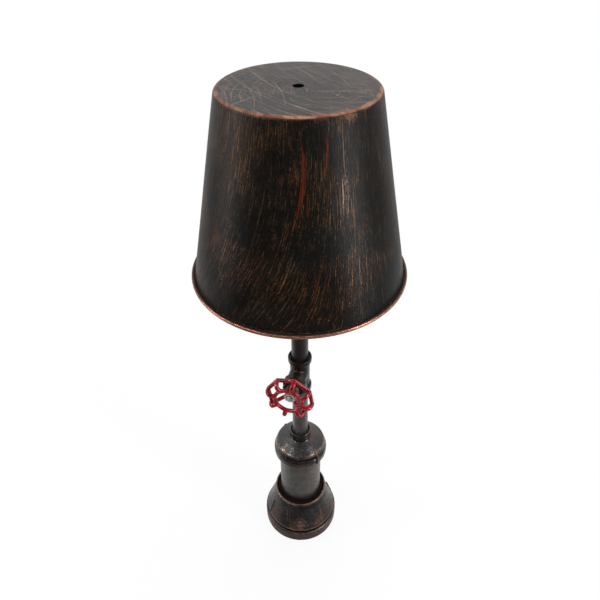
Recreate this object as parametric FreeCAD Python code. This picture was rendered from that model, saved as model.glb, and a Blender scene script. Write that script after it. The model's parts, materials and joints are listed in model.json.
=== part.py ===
import FreeCAD, Part

import math
import os

# Industrial pipe table lamp, in millimetres. The lamp's axis is the Z axis and it stands on Z = 0.
# A spun steel shade sits on half-inch and two-inch pipe, joined by malleable iron fittings. The
# branch of the tee points along -Y, to the front, and carries a cast handwheel on the stem of a
# rotary dimmer. The lead enters at the back of the base, and the loose wires run up the pipes.

Vector = FreeCAD.Vector

UP = Vector(0, 0, 1)
FIT = 0.05  # radial gap between a piece and the bore that it is screwed or pressed into
RUNNING_FIT = 0.05  # radial gap between the dimmer's stem and its neck

# pipe
SMALL_PIPE_R = 10.65
SMALL_PIPE_BORE_R = 7.9
LARGE_PIPE_R = 30.15
LARGE_PIPE_BORE_R = 26.25

# heights along the lamp's axis
BASE_BOTTOM_Z = 1.5
BASE_TOP_Z = 74.5
COLUMN_BOTTOM_Z = 46.0
REDUCER_BOTTOM_Z = 166.0
COLUMN_TOP_Z = 181.0
REDUCER_TOP_Z = 211.0
LOWER_PIPE_BOTTOM_Z = 192.0
TEE_Z = 327.0
HOLDER_PIPE_TOP_Z = 522.0
SHADE_BOTTOM_Z = 494.5
SHADE_TOP_Z = 693.0

# base and foot
FOOT_R = 56.0
FOOT_TOP_Z = 20.5
GROOVE_R = 51.4
GROOVE_BOTTOM_Z = 21.4
GROOVE_TOP_Z = 23.4
SHOULDER_R = 53.4
SHOULDER_Z = 24.0
FLARE_FOOT_R = 52.9
FLARE_FOOT_Z = 27.2
FLARE_WAIST_R = 44.2
FLARE_WAIST_Z = 50.0
BASE_RIM_R = 38.8
BASE_RIM_Z = 71.5
BASE_MOUTH_R = 36.3
BASE_MOUTH_Z = 62.5
PLATE_R = 52.9
PAD_THICKNESS = 3.0
PLATE_THICKNESS = 2.5
CAVITY_R = 43.5
PLATE_SCREW_CIRCLE_R = 48.2
PLATE_SCREW_ANGLES = (45.0, 135.0, 225.0, 315.0)
BALLAST_R = 42.6
BALLAST_TOP_Z = 28.0
BALLAST_BORE_R = 8.0
BALLAST_SCREW_CIRCLE_R = 28.0
BALLAST_SCREW_ANGLES = (90.0, 210.0, 330.0)
LEAD_SLOT_WIDTH = 12.0
EARTH_X = -27.0
BLOCK_SCREW_X = 11.5
BLOCK_TOP_Z = BALLAST_TOP_Z + 11.5
BLOCK_FOOT_HEIGHT = 3.0
INLET_Z = 12.0
INLET_HOLE_R = 5.5
INLET_BORE_R = 3.5
INLET_SEAT_Y = 55.3
INLET_FLANGE_R = 7.5
TAPPED_R = 2.05

# cast ribs of the two large fittings
CAST_RIB_WIDTH = 3.6
CAST_RIB_SOFTENING = 1.5
BASE_RIB_ANGLES = (36.9, 216.9)
REDUCER_RIB_ANGLES = (146.2, 326.2)

# reducing coupling
REDUCER_BAND_R = 37.8
REDUCER_BAND_Z = 176.0
REDUCER_NECK_R = 36.0
REDUCER_RIDGE_R = 34.2
REDUCER_RIDGE_Z = 187.0
DOME_R = 24.0
DOME_Z = 193.6
COLLAR_Z = 198.2
COLLAR_MOUTH_DEPTH = 6.0

# half-inch fittings
BAND_R = 15.2
BAND_WIDTH = 7.6
TEE_REACH = 28.5
TEE_BODY_R = 12.8
TEE_BRANCH_R = 12.4
CROTCH_FILLET_R = 3.5
THREAD_DEPTH = 14.0
MOUTH_R = 13.0
MOUTH_DEPTH = 3.2
WATERWAY_R = 9.6

# dimmer, measured along the branch from the lamp's axis
SWITCH_BACK_L = 14.0
SWITCH_R = 8.6
SWITCH_WALL = 0.9
SWITCH_FRONT_L = 31.0
BUSH_FRONT_L = 33.5
BUSH_HEX = 24.0
BUSH_BORE_R = 9.0
BUSH_WALL = 2.5
COVER_THICKNESS = 1.2
BOARD_THICKNESS = 1.6
SWITCH_WASHER = 0.8
SWITCH_NUT_HEX = 14.0
NECK_R = 4.75
NECK_END_L = 39.4
STEM_R = 3.0
ROTOR_R = 6.5
ROTOR_BACK_L = 20.2
TRACK_INNER_R = 4.6
TRACK_OUTER_R = 6.2
STOP_WIDTH_DEG = 44.0
TRACK_MIDDLE_DEG = -45.0
TRACK_SPAN_DEG = 300.0

# handwheel, measured along the branch from the lamp's axis
RIB_COUNT = 8
FIRST_RIB_DEG = 33.0
RIM_CORNER_R = 29.2
RIM_WIDTH = 4.6
RIM_OUTER_ROUNDING = 4.0
RIM_INNER_ROUNDING = 2.0
RIM_BACK_L = 42.6
RIM_DEPTH = 4.4
RIM_SOFTENING = 2.0
RIB_WIDTH = 5.2
RIB_DEPTH = 4.2
RIB_SOFTENING = 1.95
RIB_FOOT_R = 29.0
RIB_FOOT_L = 44.2
RIB_KNEE_L = 50.4
RIB_KNEE_ROUNDING = 8.0
RIB_CREST_R = 25.4
RIB_CREST_L = 54.9
RIB_CREST_ROUNDING = 4.0
RING_R = 17.6
RING_WIDTH = 4.4
RING_BACK_L = 50.7
RING_DEPTH = 4.4
RING_SOFTENING = 1.9
SPOKE_COUNT = 3
FIRST_SPOKE_DEG = 78.0
SPOKE_WIDTH = 5.0
HUB_R = 7.2
HUB_BACK_L = 41.0
HUB_FRONT_L = 47.6
STEM_SQUARE = 4.2
WASHER_R = 7.0
WASHER_THICKNESS = 1.0
SCREW_HEAD_R = 4.0
SCREW_HEAD_HEIGHT = 2.6
SCREW_SHANK_R = 1.5
SCREW_SLOT_DEG = 35.0

# shade
SHADE_TOP_R = 76.7
SHADE_BOTTOM_R = 115.1
SHADE_WALL = 0.7
SHADE_CORNER_R = 3.6
SHADE_HOLE_R = 5.5
RIM_WIRE_R = 1.7
RIM_BEAD_R = RIM_WIRE_R + FIT + SHADE_WALL

# lampholder and bulb
HOLDER_CAP_Z = 530.0
HOLDER_BODY_Z = 552.0
HOLDER_TOP_Z = 588.0
HOLDER_R = 19.4
HOLDER_CAP_R = 8.5
HOLDER_WALL = 1.6
INSULATOR_BOTTOM_Z = 544.0
INSULATOR_R = 15.0
INSULATOR_RIM_Z = HOLDER_BODY_Z + 4
SHADE_RING_R = 27.0
SHADE_RING_HEIGHT = 5.0
THREAD_PITCH = 3.6
BUSHING_HEAD = 4.0
SPIDER_Z = 564.0
SPIDER_THICKNESS = 2.0
SPIDER_ANGLES = (30.0, 150.0, 270.0)
SPIDER_ARM_WIDTH = 10.0
SPIDER_GAP = 0.15
SPIDER_TAB = 1.5
SPIDER_TAB_DEG = 7.0
BULB_CONTACT_Z = 559.0
BULB_CAP_TOP_Z = 584.0
BULB_R = 30.0
BULB_TOP_Z = 666.0
BULB_WALL = 0.8
BULB_NECK_Z = BULB_CAP_TOP_Z - 4.0
NIPPLE_R = 5.0
NIPPLE_BORE_R = 3.6

# wires
WIRE_R = 1.0
WIRE_PITCH = 3.2
WIRE_BEND_R = 6.0
WIRE_Y = 1.0
TERMINAL_L = 9.8
TERMINAL_RISE = 5.0


# ---------------------------------------------------------------------------- shape helpers
def polar(radius, angle_deg, height=0.0):
    """Point at a radius and angle about Z."""
    angle = math.radians(angle_deg)
    return Vector(radius * math.cos(angle), radius * math.sin(angle), height)


def outline(corners, closed=True):
    """Wire in the XZ plane through (radius, height) corners, each with an optional rounding."""
    spots = [Vector(corner[0], 0, corner[1]) for corner in corners]
    bends = []
    for i, corner in enumerate(corners):
        spot = spots[i]
        if len(corner) < 3:
            bends.append((spot, None, spot))
            continue
        back = (spots[i - 1] - spot).normalize()
        ahead = (spots[(i + 1) % len(spots)] - spot).normalize()
        half = back.getAngle(ahead) / 2
        reach = corner[2] / math.tan(half)
        inward = (back + ahead).normalize()
        middle = spot + inward * (corner[2] / math.sin(half) - corner[2])
        bends.append((spot + back * reach, middle, spot + ahead * reach))
    edges = []
    for i, (start, middle, end) in enumerate(bends):
        if middle is not None:
            edges.append(Part.Arc(start, middle, end).toShape())
        following = bends[(i + 1) % len(bends)][0]
        joined = closed or i + 1 < len(bends)
        if joined and end.distanceToPoint(following) > 1e-6:
            edges.append(Part.LineSegment(end, following).toShape())
    return Part.Wire(edges)


def upright(solid):
    """The same solid with its faces pointing outwards."""
    if solid.Volume < 0:
        solid.reverse()
    return solid


def turned(corners, angle=360.0):
    """Solid of revolution about Z of an outline of (radius, height) corners."""
    return upright(Part.Face(outline(corners)).revolve(Vector(), UP, angle))


def ring(bore_r, outer_r, low, high):
    """Plain ring or disc about Z."""
    return turned([(bore_r, low), (outer_r, low), (outer_r, high), (bore_r, high)])


def rod(radius, low, high, x=0.0, y=0.0):
    """Upright cylinder at (x, y)."""
    return Part.makeCylinder(radius, high - low, Vector(x, y, low))


def block(low, high):
    """Box between two opposite corners."""
    low = Vector(*low)
    size = Vector(*high) - low
    return Part.makeBox(size.x, size.y, size.z, low)


def spun(shape, angle):
    """Copy turned about Z."""
    return shape.rotated(Vector(), UP, angle)


def around(shape, angles):
    """List of copies turned about Z."""
    return [spun(shape, angle) for angle in angles]


def spaced(count, first=0.0):
    """Angles of a full circle shared out evenly."""
    return [first + 360.0 * i / count for i in range(count)]


def fused(shapes):
    """One solid made of shapes that meet."""
    return shapes[0].multiFuse(shapes[1:]).removeSplitter()


def hexagon(across_flats, low, high, bore_r, chamfer=0.8):
    """Hexagonal nut or head about Z, its corners turned down at both ends."""
    corner_r = across_flats / math.sqrt(3)
    corners = [polar(corner_r, 60.0 * i, low) for i in range(7)]
    prism = Part.Face(Part.makePolygon(corners)).extrude(Vector(0, 0, high - low))
    shoulder_r = corner_r - chamfer
    blank = turned([
        (bore_r, low), (shoulder_r, low), (corner_r, low + chamfer / 2),
        (corner_r, high - chamfer / 2), (shoulder_r, high), (bore_r, high),
    ])
    return prism.common(blank)


def along_branch(shape):
    """Carries a piece built about Z, with its height as distance, onto the branch of the tee."""
    return shape.rotated(Vector(), Vector(1, 0, 0), 90).translated(Vector(0, 0, TEE_Z))


def round_head_screw(head_r, head_height, shank_r, shank_length):
    """Round-head screw about Z: the head sits on Z = 0 and the shank goes down."""
    crown_r = (head_r ** 2 + head_height ** 2) / (2 * head_height)
    crown = Part.makeSphere(crown_r, Vector(0, 0, head_height - crown_r))
    head = rod(head_r, 0, head_height).common(crown)
    head = head.cut(block((-head_r, -0.5, head_height * 0.5), (head_r, 0.5, head_height + 1)))
    return fused([head, rod(shank_r, -shank_length, 0.2)])


def countersunk_screw(head_r, head_height, shank_r, length):
    """Countersunk screw about Z: its flat head faces down at Z = 0 and the shank goes up."""
    screw = turned([(0, 0), (head_r, 0), (shank_r, head_height), (shank_r, length), (0, length)])
    recess = block((-head_r * 0.55, -0.45, -1), (head_r * 0.55, 0.45, head_height * 0.55))
    return screw.cut(recess).cut(spun(recess, 90))


# ---------------------------------------------------------------------------- base
def foot_pad():
    return turned([
        (0, 0), (PLATE_R, 0, 0.8), (PLATE_R, PAD_THICKNESS), (0, PAD_THICKNESS),
    ])


def base_plate():
    top = PAD_THICKNESS + PLATE_THICKNESS
    plate = ring(0, PLATE_R, PAD_THICKNESS, top)
    sink = turned([
        (0, PAD_THICKNESS - 0.1), (4.2, PAD_THICKNESS - 0.1), (2.1, top - 0.3), (2.1, top + 1), (0, top + 1),
    ])
    for radius, angles in (
        (PLATE_SCREW_CIRCLE_R, PLATE_SCREW_ANGLES),
        (BALLAST_SCREW_CIRCLE_R, BALLAST_SCREW_ANGLES),
    ):
        for hole in around(sink.translated(Vector(radius, 0, 0)), angles):
            plate = plate.cut(hole)
    return plate


def plate_screws(circle_r, angles, length):
    """Ring of countersunk screws through the base plate."""
    screw = countersunk_screw(4.0, 2.1, 2.0, length)
    screw.translate(Vector(circle_r, 0, PAD_THICKNESS))
    return Part.makeCompound(around(screw, angles))


def base_plate_screws():
    return plate_screws(PLATE_SCREW_CIRCLE_R, PLATE_SCREW_ANGLES, 12.0)


def ballast_screws():
    return plate_screws(BALLAST_SCREW_CIRCLE_R, BALLAST_SCREW_ANGLES, 14.0)


def ballast():
    bottom = PAD_THICKNESS + PLATE_THICKNESS
    weight = turned([
        (BALLAST_BORE_R, bottom), (BALLAST_R, bottom, 1.0), (BALLAST_R, BALLAST_TOP_Z, 2.0),
        (BALLAST_BORE_R, BALLAST_TOP_Z, 1.0),
    ])
    half = LEAD_SLOT_WIDTH / 2
    weight = weight.cut(block((-half, 0, bottom - 1), (half, CAVITY_R, INLET_Z + half)))
    tapped = rod(TAPPED_R, bottom - 1, bottom + 14.0, BALLAST_SCREW_CIRCLE_R)
    for hole in around(tapped, BALLAST_SCREW_ANGLES):
        weight = weight.cut(hole)
    weight = weight.cut(rod(1.55, BALLAST_TOP_Z - 9.0, BALLAST_TOP_Z + 1, EARTH_X))
    for side in (-1, 1):
        weight = weight.cut(rod(1.3, BALLAST_TOP_Z - 7.0, BALLAST_TOP_Z + 1, side * BLOCK_SCREW_X, WIRE_Y))
    return weight


def cast_rib(corners):
    """Upright rib in the XZ plane, its outer edges rounded. The first corner lies inside the casting."""
    half = CAST_RIB_WIDTH / 2
    rib = Part.Face(outline(corners)).extrude(Vector(0, 2 * half, 0)).translated(Vector(0, -half, 0))
    outer = [edge for edge in rib.Edges if abs(abs(edge.CenterOfMass.y) - half) < 1e-6
             and edge.CenterOfMass.x > corners[0][0]]
    return rib.makeFillet(CAST_RIB_SOFTENING, outer)


def base_bell():
    """Bell reducer, large end down: a banded foot, a flared skirt and a recessed mouth for the pipe."""
    plate_top = PAD_THICKNESS + PLATE_THICKNESS
    bell = turned([
        (PLATE_R + FIT, BASE_BOTTOM_Z),
        (FOOT_R, BASE_BOTTOM_Z, 0.8),
        (FOOT_R, FOOT_TOP_Z, 2.4),
        (GROOVE_R + 0.8, FOOT_TOP_Z),
        (GROOVE_R, GROOVE_BOTTOM_Z),
        (GROOVE_R, GROOVE_TOP_Z),
        (SHOULDER_R, SHOULDER_Z, 0.7),
        (FLARE_FOOT_R, FLARE_FOOT_Z, 1.4),
        (FLARE_WAIST_R, FLARE_WAIST_Z, 200.0),
        (BASE_RIM_R, BASE_RIM_Z, 6.0),
        (BASE_RIM_R, BASE_TOP_Z, 0.9),
        (BASE_MOUTH_R, BASE_TOP_Z, 0.9),
        (BASE_MOUTH_R, BASE_MOUTH_Z, 1.0),
        (LARGE_PIPE_R + FIT, BASE_MOUTH_Z),
        (LARGE_PIPE_R + FIT, COLUMN_BOTTOM_Z),
        (LARGE_PIPE_BORE_R, COLUMN_BOTTOM_Z),
        (LARGE_PIPE_BORE_R, COLUMN_BOTTOM_Z - 2.5),
        (CAVITY_R, BALLAST_TOP_Z + 3.5, 2.0),
        (CAVITY_R, plate_top),
        (PLATE_R + FIT, plate_top),
    ])
    rib = cast_rib([(45.0, 25.5), (54.4, 25.5, 1.0), (46.0, 52.0, 3.0), (38.0, 52.0)])
    bell = fused([bell] + around(rib, BASE_RIB_ANGLES))
    seat = Part.makeCylinder(INLET_FLANGE_R + 0.6, 5, Vector(0, INLET_SEAT_Y, INLET_Z), Vector(0, 1, 0))
    hole = Part.makeCylinder(INLET_HOLE_R + FIT, 30, Vector(0, 35, INLET_Z), Vector(0, 1, 0))
    bell = bell.cut(seat).cut(hole)
    tapped = rod(TAPPED_R, BASE_BOTTOM_Z, PAD_THICKNESS + 13.0, PLATE_SCREW_CIRCLE_R)
    for opening in around(tapped, PLATE_SCREW_ANGLES):
        bell = bell.cut(opening)
    return bell


def cable_grommet():
    """Flanged bush in the back of the foot, built about Z and laid along +Y."""
    bush = turned([
        (INLET_BORE_R, 0), (INLET_HOLE_R, 0, 0.6), (INLET_HOLE_R, 11.0), (INLET_FLANGE_R, 11.0),
        (INLET_FLANGE_R, 13.2, 1.2), (INLET_BORE_R, 13.2, 0.8),
    ])
    return bush.rotated(Vector(), Vector(1, 0, 0), -90).translated(Vector(0, INLET_SEAT_Y - 11.0, INLET_Z))


def terminal_block():
    """Two-way block for the incoming lead, standing over the ballast's bore on two low feet."""
    half = BLOCK_SCREW_X - 2.7
    body = block((-half, WIRE_Y - 6.5, BALLAST_TOP_Z), (half, WIRE_Y + 6.5, BLOCK_TOP_Z))
    body = body.makeFillet(1.0, [edge for edge in body.Edges if abs(edge.tangentAt(0).z) > 0.9])
    foot_top = BALLAST_TOP_Z + BLOCK_FOOT_HEIGHT
    sole = block((-BLOCK_SCREW_X, WIRE_Y - 3.2, BALLAST_TOP_Z), (BLOCK_SCREW_X, WIRE_Y + 3.2, foot_top))
    ends = [rod(3.2, BALLAST_TOP_Z, foot_top, side * BLOCK_SCREW_X, WIRE_Y) for side in (-1, 1)]
    body = fused([body, sole] + ends)
    for side in (-1, 1):
        body = body.cut(rod(1.7, BALLAST_TOP_Z - 1, BLOCK_TOP_Z + 1, side * BLOCK_SCREW_X, WIRE_Y))
        body = body.cut(rod(WIRE_R + 0.2, BLOCK_TOP_Z - 5, BLOCK_TOP_Z + 1, side * WIRE_PITCH / 2, WIRE_Y))
        body = body.cut(rod(2.4, BALLAST_TOP_Z - 1, BALLAST_TOP_Z + 3, side * 3.6, WIRE_Y))
    return body.removeSplitter()


def terminal_block_screws():
    screw = round_head_screw(2.4, 1.6, 1.25, 8.5)
    return Part.makeCompound([
        screw.translated(Vector(side * BLOCK_SCREW_X, WIRE_Y, BALLAST_TOP_Z + BLOCK_FOOT_HEIGHT))
        for side in (-1, 1)
    ])


def earth_screw():
    return round_head_screw(3.0, 2.0, 1.5, 7.0).translated(Vector(EARTH_X, 0, BALLAST_TOP_Z + 0.8))


def earth_tag():
    """Ring tag under the earth screw, its barrel towards the terminal block."""
    tag = ring(1.7, 3.4, 0, 0.8).fuse(block((2.5, -1.2, 0), (7.0, 1.2, 0.8)))
    barrel = Part.makeCylinder(1.6, 4.0, Vector(6.0, 0, 1.6), Vector(1, 0, 0))
    barrel = barrel.cut(Part.makeCylinder(WIRE_R + FIT, 3.2, Vector(7.0, 0, 1.6), Vector(1, 0, 0)))
    return fused([tag.cut(rod(1.7, -1, 2)), barrel]).translated(Vector(EARTH_X, 0, BALLAST_TOP_Z))


# ---------------------------------------------------------------------------- pipes and fittings
def pipe(outer_r, bore_r, low, high):
    """Length of pipe with its ends broken."""
    return turned([
        (bore_r, low), (outer_r, low, 0.6), (outer_r, high, 0.6), (bore_r, high),
    ])


def column_pipe():
    return pipe(LARGE_PIPE_R, LARGE_PIPE_BORE_R, COLUMN_BOTTOM_Z, COLUMN_TOP_Z)


def lower_pipe():
    return pipe(SMALL_PIPE_R, SMALL_PIPE_BORE_R, LOWER_PIPE_BOTTOM_Z, TEE_Z - TEE_REACH + THREAD_DEPTH)


def upper_pipe():
    return pipe(SMALL_PIPE_R, SMALL_PIPE_BORE_R, TEE_Z + TEE_REACH - THREAD_DEPTH, HOLDER_PIPE_TOP_Z)


def reducer_fitting():
    """Reducing coupling with a domed shoulder, a banded skirt and a recessed collar."""
    collar_bottom = REDUCER_TOP_Z - COLLAR_MOUTH_DEPTH
    body = turned([
        (LARGE_PIPE_R + FIT, REDUCER_BOTTOM_Z),
        (REDUCER_BAND_R, REDUCER_BOTTOM_Z, 1.0),
        (REDUCER_BAND_R, REDUCER_BAND_Z, 1.6),
        (REDUCER_NECK_R, REDUCER_BAND_Z + 2.6, 1.2),
        (REDUCER_NECK_R - 0.6, REDUCER_RIDGE_Z - 3.4, 1.0),
        (REDUCER_RIDGE_R, REDUCER_RIDGE_Z, 2.0),
        (DOME_R, DOME_Z, 60.0),
        (BAND_R, COLLAR_Z, 1.6),
        (BAND_R, REDUCER_TOP_Z, 1.1),
        (MOUTH_R, REDUCER_TOP_Z, 0.5),
        (MOUTH_R, collar_bottom, 0.5),
        (SMALL_PIPE_R + FIT, collar_bottom),
        (SMALL_PIPE_R + FIT, LOWER_PIPE_BOTTOM_Z),
        (SMALL_PIPE_BORE_R, LOWER_PIPE_BOTTOM_Z),
        (SMALL_PIPE_BORE_R, LOWER_PIPE_BOTTOM_Z - 2.0),
        (LARGE_PIPE_BORE_R, COLUMN_TOP_Z + 1.5),
        (LARGE_PIPE_BORE_R, COLUMN_TOP_Z),
        (LARGE_PIPE_R + FIT, COLUMN_TOP_Z),
    ])
    rib = cast_rib([
        (LARGE_PIPE_R + 1.0, REDUCER_BOTTOM_Z), (39.2, REDUCER_BOTTOM_Z, 1.2), (39.2, 178.0, 3.0),
        (35.0, 188.0, 1.0), (LARGE_PIPE_R + 1.0, 188.0),
    ])
    return fused([body] + around(rib, REDUCER_RIB_ANGLES))


def fitting_arm(body_r):
    """One banded arm of the tee about Z, from the tee's centre out to its mouth."""
    neck = TEE_REACH - BAND_WIDTH
    return turned([
        (0, 0), (body_r, 0), (body_r, neck - 2.0, 2.0), (BAND_R, neck, 1.6), (BAND_R, TEE_REACH, 1.2),
        (0, TEE_REACH),
    ])


def tee_fitting():
    """Banded tee: the run stands on the lamp's axis and the branch leaves it to the front."""
    run = fitting_arm(TEE_BODY_R)
    run = run.fuse(run.mirror(Vector(), UP))
    branch = fitting_arm(TEE_BRANCH_R).rotated(Vector(), Vector(1, 0, 0), 90)
    body = fused([run, branch])
    crotch = [edge for edge in body.Edges if edge.BoundBox.XLength > TEE_BRANCH_R
              and -TEE_BODY_R - 0.5 < edge.BoundBox.YMin and edge.BoundBox.YMax < -1.0]
    body = body.makeFillet(CROTCH_FILLET_R, crotch)
    mouth = fused([
        rod(WATERWAY_R, 0, TEE_REACH + 1),
        rod(SMALL_PIPE_R + FIT, TEE_REACH - THREAD_DEPTH, TEE_REACH + 1),
        rod(MOUTH_R, TEE_REACH - MOUTH_DEPTH, TEE_REACH + 1),
    ])
    for angle in (0, 90, 180):
        body = body.cut(mouth.rotated(Vector(), Vector(1, 0, 0), angle))
    return body.removeSplitter().translated(Vector(0, 0, TEE_Z))


# ---------------------------------------------------------------------------- dimmer
def branch_bush():
    """Hexagon bush screwed into the branch. The dimmer's neck passes through its front wall."""
    shank = turned([
        (BUSH_BORE_R, SWITCH_BACK_L + 0.6), (SMALL_PIPE_R, SWITCH_BACK_L + 0.6, 0.5),
        (SMALL_PIPE_R, TEE_REACH + 0.2), (BUSH_BORE_R, TEE_REACH + 0.2),
    ])
    head = hexagon(BUSH_HEX, TEE_REACH, BUSH_FRONT_L, BUSH_BORE_R)
    face = ring(NECK_R + FIT, BUSH_BORE_R + 0.2, BUSH_FRONT_L - BUSH_WALL, BUSH_FRONT_L)
    return along_branch(fused([shank, head, face]))


def sector(inner_r, outer_r, low, high, middle_deg, width_deg):
    """Part of a ring about Z, centred on an angle."""
    piece = turned([(inner_r, low), (outer_r, low), (outer_r, high), (inner_r, high)], width_deg)
    return spun(piece, middle_deg - width_deg / 2)


def switch_housing():
    """Dimmer's can with its threaded neck, and the stop that ends the wheel's turn."""
    inner_r = SWITCH_R - SWITCH_WALL
    can = turned([
        (STEM_R + RUNNING_FIT, NECK_END_L),
        (STEM_R + RUNNING_FIT, SWITCH_FRONT_L - 1.2),
        (inner_r, SWITCH_FRONT_L - 1.2),
        (inner_r, SWITCH_BACK_L + COVER_THICKNESS),
        (SWITCH_R, SWITCH_BACK_L + COVER_THICKNESS),
        (SWITCH_R, SWITCH_FRONT_L, 0.4),
        (NECK_R, SWITCH_FRONT_L),
        (NECK_R, NECK_END_L, 0.5),
    ])
    stop = sector(6.8, inner_r + 0.2, 22.0, SWITCH_FRONT_L - 1.0, -90.0, STOP_WIDTH_DEG)
    return along_branch(fused([can, stop]))


def terminal_spots():
    """Places of the four terminals: sideways, and above or below the branch."""
    return [(side * WIRE_PITCH / 2, rise) for side in (-1, 1) for rise in (-TERMINAL_RISE, TERMINAL_RISE)]


def switch_cover():
    """Insulating disc that closes the back of the can."""
    disc = ring(0, SWITCH_R, SWITCH_BACK_L, SWITCH_BACK_L + COVER_THICKNESS)
    for x, rise in terminal_spots():
        disc = disc.cut(block((x - 1.1, rise - 0.5, 0), (x + 1.1, rise + 0.5, SWITCH_FRONT_L)))
    return along_branch(disc)


def switch_track():
    """Board with the raised resistive track that the wiper runs on."""
    back = SWITCH_BACK_L + COVER_THICKNESS
    front = back + BOARD_THICKNESS
    board = ring(STEM_R + 0.6, SWITCH_R - SWITCH_WALL - FIT, back, front)
    track = sector(TRACK_INNER_R, TRACK_OUTER_R, front, front + 0.2, TRACK_MIDDLE_DEG, TRACK_SPAN_DEG)
    return along_branch(fused([board, track]))


def switch_terminals():
    """Four tags through the cover, where the wires are soldered."""
    front = SWITCH_BACK_L + COVER_THICKNESS - FIT
    tags = [block((x - 1.0, rise - 0.4, TERMINAL_L), (x + 1.0, rise + 0.4, front))
            for x, rise in terminal_spots()]
    return along_branch(Part.makeCompound(tags))


def switch_washer():
    return along_branch(ring(NECK_R + FIT, SWITCH_R, BUSH_FRONT_L, BUSH_FRONT_L + SWITCH_WASHER))


def switch_nut():
    low = BUSH_FRONT_L + SWITCH_WASHER
    return along_branch(hexagon(SWITCH_NUT_HEX, low, low + 3.0, NECK_R + FIT, 0.6))


def switch_rotor():
    """Moulded rotor on the stem. Its lug meets the can's stop at both ends of the turn."""
    body = turned([
        (STEM_R + FIT, ROTOR_BACK_L), (ROTOR_R, ROTOR_BACK_L, 0.3), (ROTOR_R, SWITCH_FRONT_L - 1.6, 0.3),
        (STEM_R + FIT, SWITCH_FRONT_L - 1.6),
    ])
    lug = sector(ROTOR_R - 0.3, ROTOR_R + 0.95, 23.0, 28.6, -135.0, STOP_WIDTH_DEG)
    return along_branch(fused([body, lug]))


def switch_wiper():
    """Leaf spring riveted to the rotor, bent back to press on the track."""
    low = SWITCH_BACK_L + COVER_THICKNESS + BOARD_THICKNESS + 0.3
    leaf = sector(3.8, ROTOR_R - 0.1, ROTOR_BACK_L - 0.4, ROTOR_BACK_L, 90.0, 120.0)
    post = sector(4.8, 6.0, low + 0.3, ROTOR_BACK_L - 0.2, 90.0, 12.0)
    shoe = sector(TRACK_INNER_R, TRACK_OUTER_R, low, low + 0.4, 90.0, 20.0)
    return along_branch(fused([leaf, post, shoe]))


def stem():
    """Dimmer's shaft, squared at the front for the handwheel and tapped for its screw."""
    shaft = rod(STEM_R, 18.0, HUB_BACK_L)
    half = STEM_SQUARE / 2
    square = block((-half, -half, HUB_BACK_L - 0.2), (half, half, HUB_FRONT_L - 0.3))
    groove = ring(STEM_R - 0.6, STEM_R + 1, NECK_END_L + 0.3, NECK_END_L + 1.1)
    shaft = shaft.cut(groove)
    shaft = fused([shaft, square])
    return along_branch(shaft.cut(rod(1.6, HUB_FRONT_L - 6.5, HUB_FRONT_L)))


def stem_clip():
    """Open retaining ring in the stem's groove."""
    clip = ring(STEM_R - 0.6 + FIT, STEM_R + 1.6, NECK_END_L + 0.35, NECK_END_L + 1.05)
    gap = block((-1.6, -STEM_R - 3, 0), (1.6, 0, 60))
    return along_branch(clip.cut(gap))


# ---------------------------------------------------------------------------- handwheel
def softened(solid, radius):
    """Every edge of a simple solid rounded alike."""
    return solid.makeFillet(radius, solid.Edges)


def rim_prism(corner_r, rounding, low, high):
    """Prism with one rounded corner for each rib."""
    corners = [polar(corner_r, angle, low) for angle in spaced(RIB_COUNT, FIRST_RIB_DEG)]
    prism = Part.Face(Part.makePolygon(corners + corners[:1])).extrude(Vector(0, 0, high - low))
    return prism.makeFillet(rounding, [edge for edge in prism.Edges if edge.BoundBox.ZLength > 1.0])


def wheel_rim():
    """Round-edged bar that runs straight from corner to corner."""
    half = RIM_WIDTH / 2 / math.cos(math.radians(180.0 / RIB_COUNT))
    front = RIM_BACK_L + RIM_DEPTH
    outer = rim_prism(RIM_CORNER_R + half, RIM_OUTER_ROUNDING, RIM_BACK_L, front)
    bar = outer.cut(rim_prism(RIM_CORNER_R - half, RIM_INNER_ROUNDING, RIM_BACK_L - 1, front + 1))
    return bar.makeFillet(RIM_SOFTENING, [edge for edge in bar.Edges if edge.BoundBox.ZLength < 1e-3])


def wheel_rib():
    """Bar that bows forward from a corner of the rim and comes back to the ring."""
    path = outline([
        (RIB_FOOT_R, RIB_FOOT_L), (RIB_FOOT_R, RIB_KNEE_L, RIB_KNEE_ROUNDING),
        (RIB_CREST_R, RIB_CREST_L, RIB_CREST_ROUNDING), (RING_R - 1.0, RING_BACK_L + RING_DEPTH / 2),
    ], closed=False)
    deep, wide = RIB_DEPTH / 2, RIB_WIDTH / 2
    section = outline([
        (-deep, -wide, RIB_SOFTENING), (deep, -wide, RIB_SOFTENING), (deep, wide, RIB_SOFTENING),
        (-deep, wide, RIB_SOFTENING),
    ])
    section = section.rotated(Vector(), Vector(1, 0, 0), -90).translated(Vector(RIB_FOOT_R, 0, RIB_FOOT_L))
    return upright(path.makePipeShell([section], True, True))


def wheel_spoke():
    """Spoke that rises from the hub to the ring."""
    side = outline([
        (3.0, HUB_BACK_L + 1.6), (HUB_R + 0.6, HUB_BACK_L + 2.4, 3.0), (RING_R, RING_BACK_L + 0.5),
        (RING_R, RING_BACK_L + RING_DEPTH - 0.9), (HUB_R + 1.0, HUB_FRONT_L - 0.6, 3.0),
        (3.0, HUB_FRONT_L - 0.6),
    ])
    spoke = Part.Face(side).extrude(Vector(0, SPOKE_WIDTH, 0)).translated(Vector(0, -SPOKE_WIDTH / 2, 0))
    along = [edge for edge in spoke.Edges if abs(abs(edge.CenterOfMass.y) - SPOKE_WIDTH / 2) < 1e-6
             and HUB_R < edge.CenterOfMass.x < RING_R - 0.5]
    return spoke.makeFillet(1.1, along)


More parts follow.
